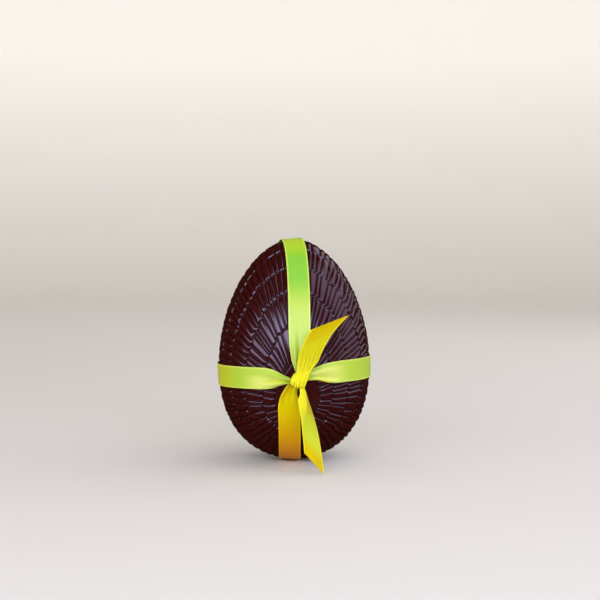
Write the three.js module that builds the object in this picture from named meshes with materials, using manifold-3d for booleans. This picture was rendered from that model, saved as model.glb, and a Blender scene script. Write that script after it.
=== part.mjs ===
// A dark chocolate egg with a moulded relief of radiating blocks, tied with a satin ribbon.
// Millimetres, +Z up, with the knot towards -Y. The origin is on the egg's axis, at the face that it
// rests on: the ribbon passes under the egg, so that face belongs to the ribbon.
import * as THREE from 'three';
import Module from 'manifold-3d';

// Egg body: r(z) = RADIUS * sqrt(1 - u * u) * (1 + a * u + b * u * u + c * u * u * u), u from -1 to 1
const PROFILE_HEIGHT = 105.4;
const PROFILE_RADIUS = 36.0;
const PROFILE_TAPER = [-0.136, 0.0525, -0.05];
const FLAT_SPOT_DEPTH = 0.6;

// Ribbon stock, and the air left between neighbouring pieces
const RIBBON_WIDTH = 10;
const RIBBON_THICKNESS = 0.4;
const CLEARANCE = 0.3;
const EGG_REST_Z = RIBBON_THICKNESS + CLEARANCE;
const PROFILE_BASE_Z = EGG_REST_Z - FLAT_SPOT_DEPTH;

// Relief: on each face of the egg, rings of blocks surround a smooth patch. A ring's limits are polar
// angles in degrees from the patch centre (0) to the seam of the two moulded halves (90), each with the
// amount by which it falls short towards the small end, and towards the broad end where that differs.
// The centre that a groove points to is higher for the upper grooves and lower for the lower ones.
const PATCH_CENTRE_Z = 32;
const PATCH_STRETCH = 5;
const RING_LIMITS = [[17.2, 9, 2], [27.8, 3], [43, 2.8], [59.2, 3.8], [73.2, 2], [90, 0]];
// Width of a block in each ring, towards the small end and elsewhere
const RING_PITCH = [[3.1, 2.8], [2.5, 2.9], [2.9, 3.1], [3.2, 3.2], [3.3, 3.4]];
const PITCH_SPREAD = 0.32;
const RING_WAVE = 0.7;
const BLOCK_SKEW = 0.25;
const BLOCK_INSET = 0.36;
const NARROWEST_INSET = 0.3;
const BLOCK_UNEVENNESS = 0.1;
const GROOVE_DEPTH = 0.85;
const SEAM_DEPTH = 0.55;
const MERGE_DISTANCE = 0.5;
const LONGEST_FACET = 12;
const PATCH_LOOPS = [[0.94, 30], [0.66, 18], [0.33, 9]];
const RELIEF_SEED = 20110;

// Upright band: [angle round the egg, sideways offset of its centre line]. The angle is in degrees in
// the YZ plane about BAND_CENTRE_Z, 0 at the knot and 90 at the top of the egg.
const BAND_CENTRE_Z = 42.6;
const BAND_STEP = 4;
const UPRIGHT_COURSE = [
  [4, -0.1], [22, 0.5], [52, 0.7], [75, 0.1], [90, -1.4], [104, -3], [130, -3.6], [180, -2.4],
  [250, -1.2], [270, -1.4], [286, -2.6], [323, -3.7], [346, -4.1], [352, -3.1], [355, -2.4],
];
// Half of the visible width, gathered towards the knot at both ends
const UPRIGHT_GATHER = [
  [4, 1.8], [12, 3.3], [25, 4.7], [38, 5], [338, 5], [345, 4.3], [352, 2.9], [355, 2.1],
];
// Level band: [angle round the egg's axis, height of its centre line], 0 at the knot and 90 at +X
const LEVEL_COURSE = [
  [4, 43.2], [13, 44.3], [27, 44.6], [42, 44.9], [90, 44.9], [180, 43.6], [270, 41.3],
  [318, 41.8], [337, 42], [350, 42], [355, 42.1],
];
const LEVEL_GATHER = [
  [4, 1.9], [13, 3], [22, 4.5], [34, 5], [330, 5], [340, 4.5], [349, 2.4], [355, 1.2],
];
const GATHER_RISE = 0.9;
// Where the level band rides over the upright band at the back, whose edges stand off the round egg
const CROSSING_LIFT = 1.25;
const CROSSING_FLAT_ANGLE = 16;
const CROSSING_RAMP_ANGLE = 34;

// Knot: a lump that widens upwards, with folds down it
const KNOT_CENTRE = [0.1, -39.5, 42.5];
const KNOT_HALF_SIZE = [3.9, 2.6, 3.7];
const KNOT_WIDENING = 0.3;
const KNOT_TURN = 0.3;
const KNOT_FOLDS = 7;
const KNOT_FOLD_DEPTH = 0.08;
const KNOT_ROUND_STEPS = 24;
const KNOT_HEIGHT_STEPS = 14;

// Loose tails: each is a strip between two edge curves, [x, y, z], from inside the knot to the cut end
const TAIL_UP_LEFT = [
  [-1.4, -40.2, 43.4], [-1.4, -41.5, 48.4], [0, -43.2, 54.5], [1.5, -44.4, 58.7],
  [3.5, -45, 63.1], [5.3, -45.2, 65.8],
];
const TAIL_UP_RIGHT = [
  [2.4, -40.2, 42], [5.6, -41.6, 46], [8.3, -43, 50.8], [10.2, -44.2, 55.2],
  [15.9, -45.2, 65.4], [22.2, -45.8, 72.2],
];
const TAIL_DOWN_LEFT = [
  [-0.7, -40.3, 41.2], [-0.3, -41.6, 37.2], [-0.6, -42.7, 33.3], [0.3, -43.4, 26.9],
  [0.9, -43.7, 19.1], [2.2, -44.6, 9.7],
];
const TAIL_DOWN_RIGHT = [
  [0.9, -40.5, 41.2], [3, -41.6, 37.4], [4.4, -42.6, 33.3], [6.7, -42.8, 26.1],
  [9.2, -43.2, 14.8], [10.5, -45, 6], [11, -48, 0.45],
];
const TAIL_STEPS = 18;
const TAIL_BOW = 0.5;

const DEGREE = Math.PI / 180;

const DARK_CHOCOLATE = { color: 0x2e1512, roughness: 0.3, metalness: 0 };
const SATIN_FACE = { color: 0xc9dd3a, roughness: 0.42, metalness: 0 };
const SATIN_REVERSE = { color: 0xddd21c, roughness: 0.5, metalness: 0 };

// --- Small tools ---

// Seeded whole-number generator, so the relief is the same at every build
function seededRandom(seed) {
  let state = seed;
  return () => {
    state = (state * 16807) % 2147483647;
    return state / 2147483647;
  };
}

function smoothStep(low, high, value) {
  const t = Math.min(1, Math.max(0, (value - low) / (high - low)));
  return t * t * (3 - 2 * t);
}

// Smooth curve through a table of [position, value] rows
function along(table, position) {
  const last = table.length - 1;
  let i = 0;
  while (i < last - 1 && position > table[i + 1][0]) {
    i += 1;
  }
  const [p0, v0] = table[i];
  const [p1, v1] = table[i + 1];
  const slope = (a, b) => (table[b][1] - table[a][1]) / (table[b][0] - table[a][0]);
  const s0 = i > 0 ? slope(i - 1, i + 1) : slope(0, 1);
  const s1 = i + 2 <= last ? slope(i, i + 2) : slope(last - 1, last);
  const span = p1 - p0;
  const t = Math.min(1, Math.max(0, (position - p0) / span));
  const rise = (1 - t) * (1 - t) * (v0 * (1 + 2 * t) + s0 * span * t);
  return rise + t * t * (v1 * (3 - 2 * t) - s1 * span * (1 - t));
}

// --- Egg surface ---

function squaredRadius(z) {
  const u = (2 * (z - PROFILE_BASE_Z)) / PROFILE_HEIGHT - 1;
  const [a, b, c] = PROFILE_TAPER;
  const swell = 1 + a * u + b * u * u + c * u * u * u;
  return PROFILE_RADIUS ** 2 * (1 - u * u) * swell * swell;
}

function eggNormal(point) {
  const step = 0.001;
  const fall = (squaredRadius(point.z + step) - squaredRadius(point.z - step)) / (4 * step);
  return new THREE.Vector3(point.x, point.y, -fall).normalize();
}

// Distance at which a ray that starts inside the egg leaves it
function distanceToShell(start, direction) {
  let inside = 0;
  let outside = 2 * PROFILE_HEIGHT;
  const point = new THREE.Vector3();
  for (let i = 0; i < 48; i += 1) {
    const middle = (inside + outside) / 2;
    point.copy(start).addScaledVector(direction, middle);
    if (point.x ** 2 + point.y ** 2 < squaredRadius(point.z)) {
      inside = middle;
    } else {
      outside = middle;
    }
  }
  return inside;
}

// Point of the shell at an azimuth (0 towards the small end, 90 at +X) and a polar angle from the patch
function shellPoint(azimuth, polar) {
  const across = Math.sin(azimuth * DEGREE);
  const up = Math.cos(azimuth * DEGREE);
  const centre = new THREE.Vector3(0, 0, PATCH_CENTRE_Z + PATCH_STRETCH * up);
  const reach = distanceToShell(centre, new THREE.Vector3(across, 0, up)) * Math.sin(polar * DEGREE);
  const x = reach * across;
  const z = centre.z + reach * up;
  const depth = Math.sqrt(Math.max(0, squaredRadius(z) - x * x));
  return new THREE.Vector3(x, polar < 90 ? -depth : depth, z);
}

function sunkPoint(azimuth, polar, depth) {
  const point = shellPoint(azimuth, polar);
  point.addScaledVector(eggNormal(point), -depth);
  point.z = Math.max(point.z, EGG_REST_Z);
  return point;
}

function millimetresPerDegree(azimuth, polar) {
  const polarInside = Math.min(178, Math.max(2, polar));
  const ahead = shellPoint(azimuth + 0.5, polarInside);
  const outward = shellPoint(azimuth, polarInside + 0.5);
  return {
    azimuth: ahead.distanceTo(shellPoint(azimuth - 0.5, polarInside)),
    polar: outward.distanceTo(shellPoint(azimuth, polarInside - 0.5)),
  };
}

// --- Closed mesh builder ---

class MeshBuilder {
  constructor() {
    this.positions = [];
    this.triangles = [];
  }

  add(point) {
    this.positions.push(point.x, point.y, point.z);
    return this.positions.length / 3 - 1;
  }

  // Strip between two chains of [vertex, place] rows. Seen from outside, the far chain is on the left.
  zip(near, far) {
    let i = 0;
    let j = 0;
    while (i < near.length - 1 || j < far.length - 1) {
      const nearNext = i < near.length - 1 ? near[i][1] + near[i + 1][1] : Infinity;
      const farNext = j < far.length - 1 ? far[j][1] + far[j + 1][1] : Infinity;
      if (nearNext <= farNext) {
        this.triangles.push(near[i][0], near[i + 1][0], far[j][0]);
        i += 1;
      } else {
        this.triangles.push(near[i][0], far[j + 1][0], far[j][0]);
        j += 1;
      }
    }
  }

  geometry() {
    const geometry = new THREE.BufferGeometry();
    geometry.setAttribute('position', new THREE.Float32BufferAttribute(this.positions, 3));
    geometry.setIndex(this.triangles);
    geometry.computeVertexNormals();
    return geometry;
  }
}

// --- Layout of the blocks ---

// Azimuths of the grooves between the blocks of one ring
function grooveAzimuths(middlePolar, pitch, random) {
  const azimuths = [];
  let azimuth = 0;
  while (azimuth < 360) {
    azimuths.push(azimuth);
    const towardsTop = Math.max(0, Math.cos(azimuth * DEGREE));
    const width = pitch[1] + (pitch[0] - pitch[1]) * towardsTop;
    const spread = 1 + PITCH_SPREAD * (2 * random() - 1);
    azimuth += (width * spread) / millimetresPerDegree(azimuth, middlePolar).azimuth;
  }
  const start = random() * 6;
  return azimuths.map((value) => start + (value * 360) / azimuth);
}

// The rings of one face run from its patch to the seam. Every ring holds, for each groove, its azimuth
// at the ring's inner and outer limit.
function layOutRings(random) {
  return RING_PITCH.map((pitch, ring) => {
    const middlePolar = (RING_LIMITS[ring][0] + RING_LIMITS[ring + 1][0]) / 2;
    const azimuths = grooveAzimuths(middlePolar, pitch, random);
    const gap = 360 / azimuths.length;
    return {
      inner: azimuths.map((value) => value + gap * BLOCK_SKEW * (random() - 0.5)),
      outer: azimuths.map((value) => value + gap * BLOCK_SKEW * (random() - 0.5)),
    };
  });
}

// Both faces in one list, from the front patch (polar 0) to the back patch (polar 180)
function layOutEgg() {
  const random = seededRandom(RELIEF_SEED);
  const front = layOutRings(random);
  const back = layOutRings(random).map((ring) => ({ inner: ring.outer, outer: ring.inner })).reverse();
  const mirrored = RING_LIMITS.slice(0, -1).reverse().map(([polar, ...dips]) => [180 - polar, ...dips.map((dip) => -dip)]);
  const limits = [...RING_LIMITS, ...mirrored];
  const phases = limits.map(() => [random() * 360, random() * 360]);
  return { rings: [...front, ...back], limits, phases };
}

// The limits of the rings waver gently, except at the seam
function limitPolar(layout, joint, azimuth) {
  const [base, upperDip, lowerDip = upperDip] = layout.limits[joint];
  if (base === 90) {
    return base;
  }
  const [first, second] = layout.phases[joint];
  const wave = Math.sin((3 * azimuth + first) * DEGREE) + 0.7 * Math.sin((8 * azimuth + second) * DEGREE);
  const upwards = Math.cos(azimuth * DEGREE);
  return base - (upwards > 0 ? upperDip : lowerDip) * upwards ** 2 + RING_WAVE * wave;
}

// Grooves that nearly meet across a joint become one vertex. The joint's vertices are in azimuth order.
function makeJoint(mesh, layout, joint) {
  const before = joint > 0 ? layout.rings[joint - 1].outer : [];
  const after = joint < layout.rings.length ? layout.rings[joint].inner : [];
  const [polar] = layout.limits[joint];
  const seam = polar === 90;
  const rows = before.map((value) => ({ azimuth: ((value % 360) + 360) % 360 }));
  after.forEach((value, index) => {
    const wrapped = ((value % 360) + 360) % 360;
    const reach = MERGE_DISTANCE / millimetresPerDegree(wrapped, polar).azimuth;
    const twin = rows.find((row) => Math.abs(row.azimuth - wrapped) < reach);
    if (twin) {
      after[index] = value + twin.azimuth - wrapped;
    } else {
      rows.push({ azimuth: wrapped });
    }
  });
  rows.sort((a, b) => a.azimuth - b.azimuth);
  for (const row of rows) {
    const depth = seam ? SEAM_DEPTH : GROOVE_DEPTH;
    row.vertex = mesh.add(sunkPoint(row.azimuth, limitPolar(layout, joint, row.azimuth), depth));
  }
  return rows;
}

// Vertices of a joint from one azimuth to the next, as [vertex, place] rows
function jointChain(rows, from, to) {
  const find = (azimuth) => {
    const wrapped = ((azimuth % 360) + 360) % 360;
    return rows.findIndex((row) => Math.abs(row.azimuth - wrapped) < 1e-9);
  };
  const first = find(from);
  const last = find(to);
  const chain = [];
  const count = ((last - first + rows.length) % rows.length) || rows.length;
  const start = rows[first].azimuth;
  const span = ((rows[last].azimuth - start + 360) % 360) || 360;
  for (let i = 0; i <= count; i += 1) {
    const row = rows[(first + i) % rows.length];
    const place = i === count ? 1 : ((row.azimuth - start + 360) % 360) / span;
    chain.push([row.vertex, place]);
  }
  return chain;
}

function reversed(chain) {
  return chain.map(([vertex, place]) => [vertex, 1 - place]).reverse();
}

// Groove between two neighbouring blocks, from the inner joint to the outer one
function grooveChain(mesh, layout, ring, index, joints) {
  const inner = layout.rings[ring].inner[index];
  const outer = layout.rings[ring].outer[index];
  const start = limitPolar(layout, ring, inner);
  const end = limitPolar(layout, ring + 1, outer);
  const length = shellPoint(inner, start).distanceTo(shellPoint(outer, end));
  const steps = Math.ceil(length / LONGEST_FACET);
  const chain = [[jointChain(joints[ring], inner, inner)[0][0], 0]];
  for (let i = 1; i < steps; i += 1) {
    const t = i / steps;
    const point = sunkPoint(inner + (outer - inner) * t, start + (end - start) * t, GROOVE_DEPTH);
    chain.push([mesh.add(point), t]);
  }
  chain.push([jointChain(joints[ring + 1], outer, outer)[0][0], 1]);
  return chain;
}

// One edge of a block's top, set in from its groove; side is 1 where the block is at larger azimuths
function topEdge(mesh, layout, ring, index, side, random) {
  const grooves = layout.rings[ring];
  const count = grooves.inner.length;
  const inner = grooves.inner[index];
  const outer = grooves.outer[index];
  const start = limitPolar(layout, ring, inner);
  const end = limitPolar(layout, ring + 1, outer);
  const length = shellPoint(inner, start).distanceTo(shellPoint(outer, end));
  const steps = Math.ceil(length / LONGEST_FACET);
  const height = BLOCK_UNEVENNESS * random();
  const opposite = (index + side + count) % count;
  const gapTo = (own, other) => ((((other - own) * side) % 360) + 360) % 360;
  const innerGap = gapTo(inner, grooves.inner[opposite]);
  const outerGap = gapTo(outer, grooves.outer[opposite]);
  const chain = [];
  for (let i = 0; i <= steps; i += 1) {
    const t = i / steps;
    const azimuth = inner + (outer - inner) * t;
    const polar = start + (end - start) * t;
    const scale = millimetresPerDegree(azimuth, polar);
    const width = (innerGap + (outerGap - innerGap) * t) * scale.azimuth;
    const sideInset = Math.min(BLOCK_INSET, NARROWEST_INSET * width);
    const inset = i === 0 ? 1 : i === steps ? -1 : 0;
    const point = sunkPoint(
      azimuth + (side * sideInset) / scale.azimuth,
      polar + (inset * BLOCK_INSET) / scale.polar,
      height,
    );
    chain.push([mesh.add(point), t]);
  }
  return chain;
}

// A raised top and the four flanks that fall from it to the grooves
function addBlock(mesh, near, far, left, right, leftGroove, rightGroove) {
  const last = left.length - 1;
  const rightLast = right.length - 1;
  mesh.zip(right, left);
  mesh.zip(near, [[left[0][0], 0], [right[0][0], 1]]);
  mesh.zip(reversed(far), [[right[rightLast][0], 0], [left[last][0], 1]]);
  mesh.zip(rightGroove, right);
  mesh.zip(reversed(leftGroove), reversed(left));
}

// Smooth patch inside a face's innermost joint: shrinking loops that close on the patch's centre
function addPatch(mesh, rows, layout, joint) {
  const backwards = joint > 0;
  const centrePolar = backwards ? 180 : 0;
  const orient = (chain) => (backwards ? chain : reversed(chain));
  const closed = (list) => orient([...list, [list[0][0], 1]]);
  let outerLoop = closed(rows.map((row) => [row.vertex, (row.azimuth - rows[0].azimuth) / 360]));
  const offset = rows[0].azimuth;
  for (const [share, count] of PATCH_LOOPS) {
    const loop = [];
    for (let i = 0; i < count; i += 1) {
      const azimuth = offset + (360 * i) / count;
      const polar = centrePolar + (limitPolar(layout, joint, azimuth) - centrePolar) * share;
      loop.push([mesh.add(sunkPoint(azimuth, polar, 0)), i / count]);
    }
    const innerLoop = closed(loop);
    mesh.zip(outerLoop, innerLoop);
    outerLoop = innerLoop;
  }
  const centre = mesh.add(sunkPoint(90, centrePolar, 0));
  mesh.zip(outerLoop, [[centre, 0.5]]);
}

function eggGeometry() {
  const mesh = new MeshBuilder();
  const layout = layOutEgg();
  const random = seededRandom(RELIEF_SEED + 1);
  const joints = layout.limits.map((limit, joint) => makeJoint(mesh, layout, joint));
  layout.rings.forEach((ring, number) => {
    const count = ring.inner.length;
    const indices = ring.inner.map((value, index) => index);
    const grooves = indices.map((index) => grooveChain(mesh, layout, number, index, joints));
    for (const index of indices) {
      const next = (index + 1) % count;
      const near = jointChain(joints[number], ring.inner[index], ring.inner[next]);
      const far = jointChain(joints[number + 1], ring.outer[index], ring.outer[next]);
      const left = topEdge(mesh, layout, number, index, 1, random);
      const right = topEdge(mesh, layout, number, next, -1, random);
      addBlock(mesh, near, far, left, right, grooves[index], grooves[next]);
    }
  });
  addPatch(mesh, joints[0], layout, 0);
  addPatch(mesh, joints[joints.length - 1], layout, joints.length - 1);
  return mesh.geometry();
}

// --- Ribbon ---

// Closed solid from cross-sections: each has the points of the outer face from edge to edge, and the
// direction in which that face looks
function stripGeometry(sections) {
  const mesh = new MeshBuilder();
  const width = sections[0].points.length;
  const outer = sections.map(({ points }) => points.map((point) => mesh.add(point)));
  const inner = sections.map(({ points, facing }) => (
    points.map((point) => mesh.add(point.clone().addScaledVector(facing, -RIBBON_THICKNESS)))
  ));
  const quad = (a, b, c, d) => mesh.triangles.push(a, b, c, a, c, d);
  for (let i = 0; i < sections.length - 1; i += 1) {
    for (let j = 0; j < width - 1; j += 1) {
      quad(outer[i][j], outer[i][j + 1], outer[i + 1][j + 1], outer[i + 1][j]);
      quad(inner[i][j], inner[i + 1][j], inner[i + 1][j + 1], inner[i][j + 1]);
    }
    quad(outer[i][0], outer[i + 1][0], inner[i + 1][0], inner[i][0]);
    quad(outer[i][width - 1], inner[i][width - 1], inner[i + 1][width - 1], outer[i + 1][width - 1]);
  }
  const last = sections.length - 1;
  for (let j = 0; j < width - 1; j += 1) {
    quad(outer[0][j], inner[0][j], inner[0][j + 1], outer[0][j + 1]);
    quad(outer[last][j], outer[last][j + 1], inner[last][j + 1], inner[last][j]);
  }
  return mesh.geometry();
}

// Cross-section of a band that lies on the egg: flat from edge to edge, slightly raised in the middle
// where it is gathered
function bandSection(point, normal, travel, halfWidth, lift) {
  const sideways = new THREE.Vector3().crossVectors(travel, normal).normalize();
  const gathered = 1 - (2 * halfWidth) / RIBBON_WIDTH;
  const points = [-1, 0, 1].map((side) => {
    const rise = lift + RIBBON_THICKNESS + (side === 0 ? GATHER_RISE * gathered : 0);
    return point.clone().addScaledVector(sideways, side * halfWidth).addScaledVector(normal, rise);
  });
  return { points, facing: normal };
}

// Equal steps along a course of the band, from its first to its last angle
function courseSections(course, locate, gather, lift) {
  const first = course[0][0];
  const last = course[course.length - 1][0];
  const fine = 720;
  const points = [];
  for (let i = 0; i <= fine; i += 1) {
    points.push(locate(first + ((last - first) * i) / fine));
  }
  const lengths = [0];
  for (let i = 1; i <= fine; i += 1) {
    lengths.push(lengths[i - 1] + points[i].distanceTo(points[i - 1]));
  }
  const steps = Math.round(lengths[fine] / BAND_STEP);
  const sections = [];
  let i = 0;
  for (let step = 0; step <= steps; step += 1) {
    while (i < fine && lengths[i] < (lengths[fine] * step) / steps) {
      i += 1;
    }
    const angle = first + ((last - first) * i) / fine;
    const point = points[i];
    const travel = points[Math.min(fine, i + 1)].clone().sub(points[Math.max(0, i - 1)]).normalize();
    const normal = point.z <= EGG_REST_Z ? new THREE.Vector3(0, 0, -1) : eggNormal(point);
    sections.push(bandSection(point, normal, travel, along(gather, angle), lift(angle)));
  }
  return sections;
}

function uprightPoint(angle) {
  const start = new THREE.Vector3(along(UPRIGHT_COURSE, angle), 0, BAND_CENTRE_Z);
  const direction = new THREE.Vector3(0, -Math.cos(angle * DEGREE), Math.sin(angle * DEGREE));
  const point = start.clone().addScaledVector(direction, distanceToShell(start, direction));
  point.z = Math.max(point.z, EGG_REST_Z);
  return point;
}

function levelPoint(angle) {
  const z = along(LEVEL_COURSE, angle);
  const radius = Math.sqrt(squaredRadius(z));
  return new THREE.Vector3(radius * Math.sin(angle * DEGREE), -radius * Math.cos(angle * DEGREE), z);
}

// The level band climbs over the upright band where they cross at the back
function levelLift(angle) {
  const crossing = 1 - smoothStep(CROSSING_FLAT_ANGLE, CROSSING_RAMP_ANGLE, Math.abs(angle - 180));
  return CLEARANCE + CROSSING_LIFT * crossing;
}

function uprightBandGeometry() {
  return stripGeometry(courseSections(UPRIGHT_COURSE, uprightPoint, UPRIGHT_GATHER, () => CLEARANCE));
}

function levelBandGeometry() {
  return stripGeometry(courseSections(LEVEL_COURSE, levelPoint, LEVEL_GATHER, levelLift));
}

// A tail is a strip between two smooth edge curves, bowed a little towards its outer face
function tailGeometry(leftEdge, rightEdge) {
  const curve = (rows) => new THREE.CatmullRomCurve3(rows.map((row) => new THREE.Vector3(...row)));
  const left = curve(leftEdge);
  const right = curve(rightEdge);
  const sections = [];
  for (let i = 0; i <= TAIL_STEPS; i += 1) {
    const t = i / TAIL_STEPS;
    const a = left.getPoint(t);
    const b = right.getPoint(t);
    const across = b.clone().sub(a);
    const travel = left.getTangent(t).add(right.getTangent(t));
    const facing = new THREE.Vector3().crossVectors(across, travel).normalize();
    const bow = TAIL_BOW * Math.sin(Math.PI * t);
    const middle = a.clone().add(b).multiplyScalar(0.5).addScaledVector(facing, bow);
    sections.push({ points: [a, middle, b], facing });
  }
  return stripGeometry(sections);
}

// The knot's folds run over it at a slant; margin swells it evenly for cutting its neighbours
function knotGeometry(margin) {
  const mesh = new MeshBuilder();
  const turn = new THREE.Matrix4().makeRotationY(KNOT_TURN);
  const centre = new THREE.Vector3(...KNOT_CENTRE);
  const pointAt = (round, height) => {
    const fold = 1 + KNOT_FOLD_DEPTH * Math.cos(KNOT_FOLDS * round) * Math.sin(height);
    const widening = 1 + KNOT_WIDENING * Math.cos(height);
    const direction = new THREE.Vector3(
      Math.sin(height) * Math.cos(round) * widening,
      Math.sin(height) * Math.sin(round),
      Math.cos(height),
    );
    const size = new THREE.Vector3(...KNOT_HALF_SIZE).addScalar(margin).multiplyScalar(fold);
    return direction.multiply(size).applyMatrix4(turn).add(centre);
  };
  const loops = [];
  for (let i = 1; i < KNOT_HEIGHT_STEPS; i += 1) {
    const height = (Math.PI * i) / KNOT_HEIGHT_STEPS;
    const loop = [];
    for (let j = 0; j < KNOT_ROUND_STEPS; j += 1) {
      loop.push([mesh.add(pointAt((2 * Math.PI * j) / KNOT_ROUND_STEPS, height)), j / KNOT_ROUND_STEPS]);
    }
    loops.push([...loop, [loop[0][0], 1]]);
  }
  const top = mesh.add(pointAt(0, 0));
  const bottom = mesh.add(pointAt(0, Math.PI));
  mesh.zip([[top, 0.5]], reversed(loops[0]));
  loops.slice(1).forEach((loop, i) => mesh.zip(loop, loops[i]));
  mesh.zip(reversed(loops[loops.length - 1]), [[bottom, 0.5]]);
  return mesh.geometry();
}

// --- Cutting the bands and tails clear of the knot ---

const wasm = await Module();
wasm.setup();

function toManifold(geometry) {
  return new wasm.Manifold(new wasm.Mesh({
    numProp: 3,
    vertProperties: new Float32Array(geometry.getAttribute('position').array),
    triVerts: new Uint32Array(geometry.getIndex().array),
  }));
}

function fromManifold(manifold) {
  const { vertProperties, triVerts } = manifold.getMesh();
  const geometry = new THREE.BufferGeometry();
  geometry.setAttribute('position', new THREE.Float32BufferAttribute(vertProperties, 3));
  geometry.setIndex(Array.from(triVerts));
  geometry.computeVertexNormals();
  return geometry;
}

function clearOfKnot(geometry) {
  return fromManifold(toManifold(geometry).subtract(toManifold(knotGeometry(CLEARANCE))));
}

// --- The egg and its ribbon ---

function named(name, geometry, look) {
  const mesh = new THREE.Mesh(geometry, new THREE.MeshStandardMaterial(look));
  mesh.name = name;
  return mesh;
}

const chocolateEgg = new THREE.Group();
chocolateEgg.add(
  named('egg', eggGeometry(), DARK_CHOCOLATE),
  named('ribbon_upright_band', clearOfKnot(uprightBandGeometry()), SATIN_FACE),
  named('ribbon_level_band', clearOfKnot(levelBandGeometry()), SATIN_FACE),
  named('ribbon_knot', knotGeometry(0), SATIN_REVERSE),
  named('ribbon_tail_up', clearOfKnot(tailGeometry(TAIL_UP_LEFT, TAIL_UP_RIGHT)), SATIN_REVERSE),
  named('ribbon_tail_down', clearOfKnot(tailGeometry(TAIL_DOWN_LEFT, TAIL_DOWN_RIGHT)), SATIN_REVERSE),
);

export default chocolateEgg;
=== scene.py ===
import math
from functools import partial

import bpy
import numpy as np
from bpy.props import FloatProperty, FloatVectorProperty, IntProperty, PointerProperty
from bpy.types import Material, NodeSocket, Operator, Panel, PropertyGroup
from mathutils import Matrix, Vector


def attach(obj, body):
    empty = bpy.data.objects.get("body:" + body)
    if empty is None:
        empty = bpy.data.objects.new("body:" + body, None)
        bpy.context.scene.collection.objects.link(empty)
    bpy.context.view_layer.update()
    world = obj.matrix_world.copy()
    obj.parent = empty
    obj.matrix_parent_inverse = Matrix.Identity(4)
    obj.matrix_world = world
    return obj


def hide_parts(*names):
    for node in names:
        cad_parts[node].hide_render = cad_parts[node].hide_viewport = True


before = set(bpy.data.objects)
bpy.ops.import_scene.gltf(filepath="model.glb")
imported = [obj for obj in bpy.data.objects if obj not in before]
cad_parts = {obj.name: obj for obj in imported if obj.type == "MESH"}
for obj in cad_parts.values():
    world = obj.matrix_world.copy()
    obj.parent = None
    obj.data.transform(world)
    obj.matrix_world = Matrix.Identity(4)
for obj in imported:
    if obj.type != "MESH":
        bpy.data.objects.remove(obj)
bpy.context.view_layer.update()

bl_info = {
    "name": "Ribboned Chocolate Egg",
    "version": (1, 0, 0),
    "blender": (4, 5, 0),
    "location": "3D View > Sidebar > Egg",
    "description": "Makes a moulded dark chocolate egg tied with a satin ribbon, and its studio",
    "category": "Object",
}

# Millimetres, +Z up, with the knot towards -Y, as in the solids. Meshes are written in metres.
MM = 0.001

# Egg body: r(z) = RADIUS * sqrt(1 - u * u) * (1 + a * u + b * u * u + c * u * u * u), u from -1 to 1
PROFILE_BASE_Z = 0.1
PROFILE_HEIGHT = 105.4
PROFILE_RADIUS = 36.0
PROFILE_TAPER = (-0.136, 0.0525, -0.05)
BISECTIONS = 48

# Relief: rings of blocks round a smooth patch on each face. A ring's limits are polar angles in degrees,
# each with the amounts by which it falls short towards the small end and the broad end.
PATCH_CENTRE_Z = 32
PATCH_STRETCH = 5
RING_LIMITS = [(17.2, 6.4, 2), (27.8, 3, 3), (43, 2.8, 2.8), (59.2, 3.8, 3.8), (73.2, 2, 2), (90, 0, 0)]
# Widths of its blocks across the middle of a ring, towards the small end and elsewhere
RING_PITCH = [(3.1, 2.8), (2.5, 2.9), (2.9, 3.1), (3.2, 3.2), (3.3, 3.4)]
PITCH_SPREAD = 0.32
FIRST_GROOVE_SPREAD = 6
# Waves of a ring's limits, and finer ones between rings: (waves round the face, share of RING_WAVE)
RING_WAVE = 0.7
SLOW_WAVES = ((3, 1.0), (8, 0.7))
JOINT_RIPPLES = ((23, 0.5), (41, 0.45))
BLOCK_SKEW = 0.25
MERGE_DISTANCE = 0.5
SEAM_SHARE = 0.65
SEAM_REACH = 1.2
RELIEF_SEED = 20110
# Degrees from a patch's centre within which the width of a degree of azimuth is no longer taken
POLE_MARGIN = 2
# Where the rings' and the patches' block numbers start, and a distance for grooves that are out of reach
RING_NUMBERS = 1000
PATCH_NUMBER = 90000
FAR_GAP = 9.0

# Vertices of a block: distances from its side grooves and from its ends, then evenly in between
SIDE_STEPS = (0, 0.12, 0.27, 0.48, 0.82)
END_STEPS = (0.09, 0.28, 0.55, 0.95)
BLOCK_COLUMNS = 10
BLOCK_ROWS = 13
NARROW_WIDTH = 2.0
# Loops of the smooth patch: distance from its rim, then shares of its radius, each with its vertices
PATCH_RIM_LOOPS = ((0.09, 240), (0.24, 240), (0.45, 200), (0.8, 150), (1.4, 110))
PATCH_INNER_LOOPS = ((0.82, 80), (0.64, 60), (0.46, 42), (0.28, 24), (0.12, 12))

# Ribbon courses, as in the solids: (angle round the egg, sideways offset or height of the centre line)
BAND_CENTRE_Z = 42.6
EGG_REST_Z = 0.3
UPRIGHT_COURSE = (
    (4, -0.1), (22, 0.5), (52, 0.7), (75, 0.1), (90, -1.4), (104, -3), (130, -3.6), (180, -2.4),
    (250, -1.2), (270, -1.4), (286, -2.6), (323, -3.7), (346, -4.1), (352, -3.1), (355, -2.4),
)
# Gathers: (angle, half the width that a ribbon of 10 mm takes up)
GATHER_WIDTH = 10
UPRIGHT_GATHER = (
    (4, 1.2), (8, 2.2), (13, 3.4), (25, 4.7), (38, 5), (338, 5), (345, 4.2), (349, 3.3), (352, 2.8),
    (355, 2.1),
)
LEVEL_COURSE = (
    (4, 43.2), (13, 44.3), (27, 44.6), (42, 44.9), (90, 44.9), (180, 43.6), (270, 41.3),
    (318, 41.8), (337, 42), (350, 41.6), (355, 41.2),
)
LEVEL_GATHER = ((4, 1.9), (13, 3), (22, 4.5), (34, 5), (330, 5), (340, 4.5), (349, 2.4), (355, 1.2))
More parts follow.
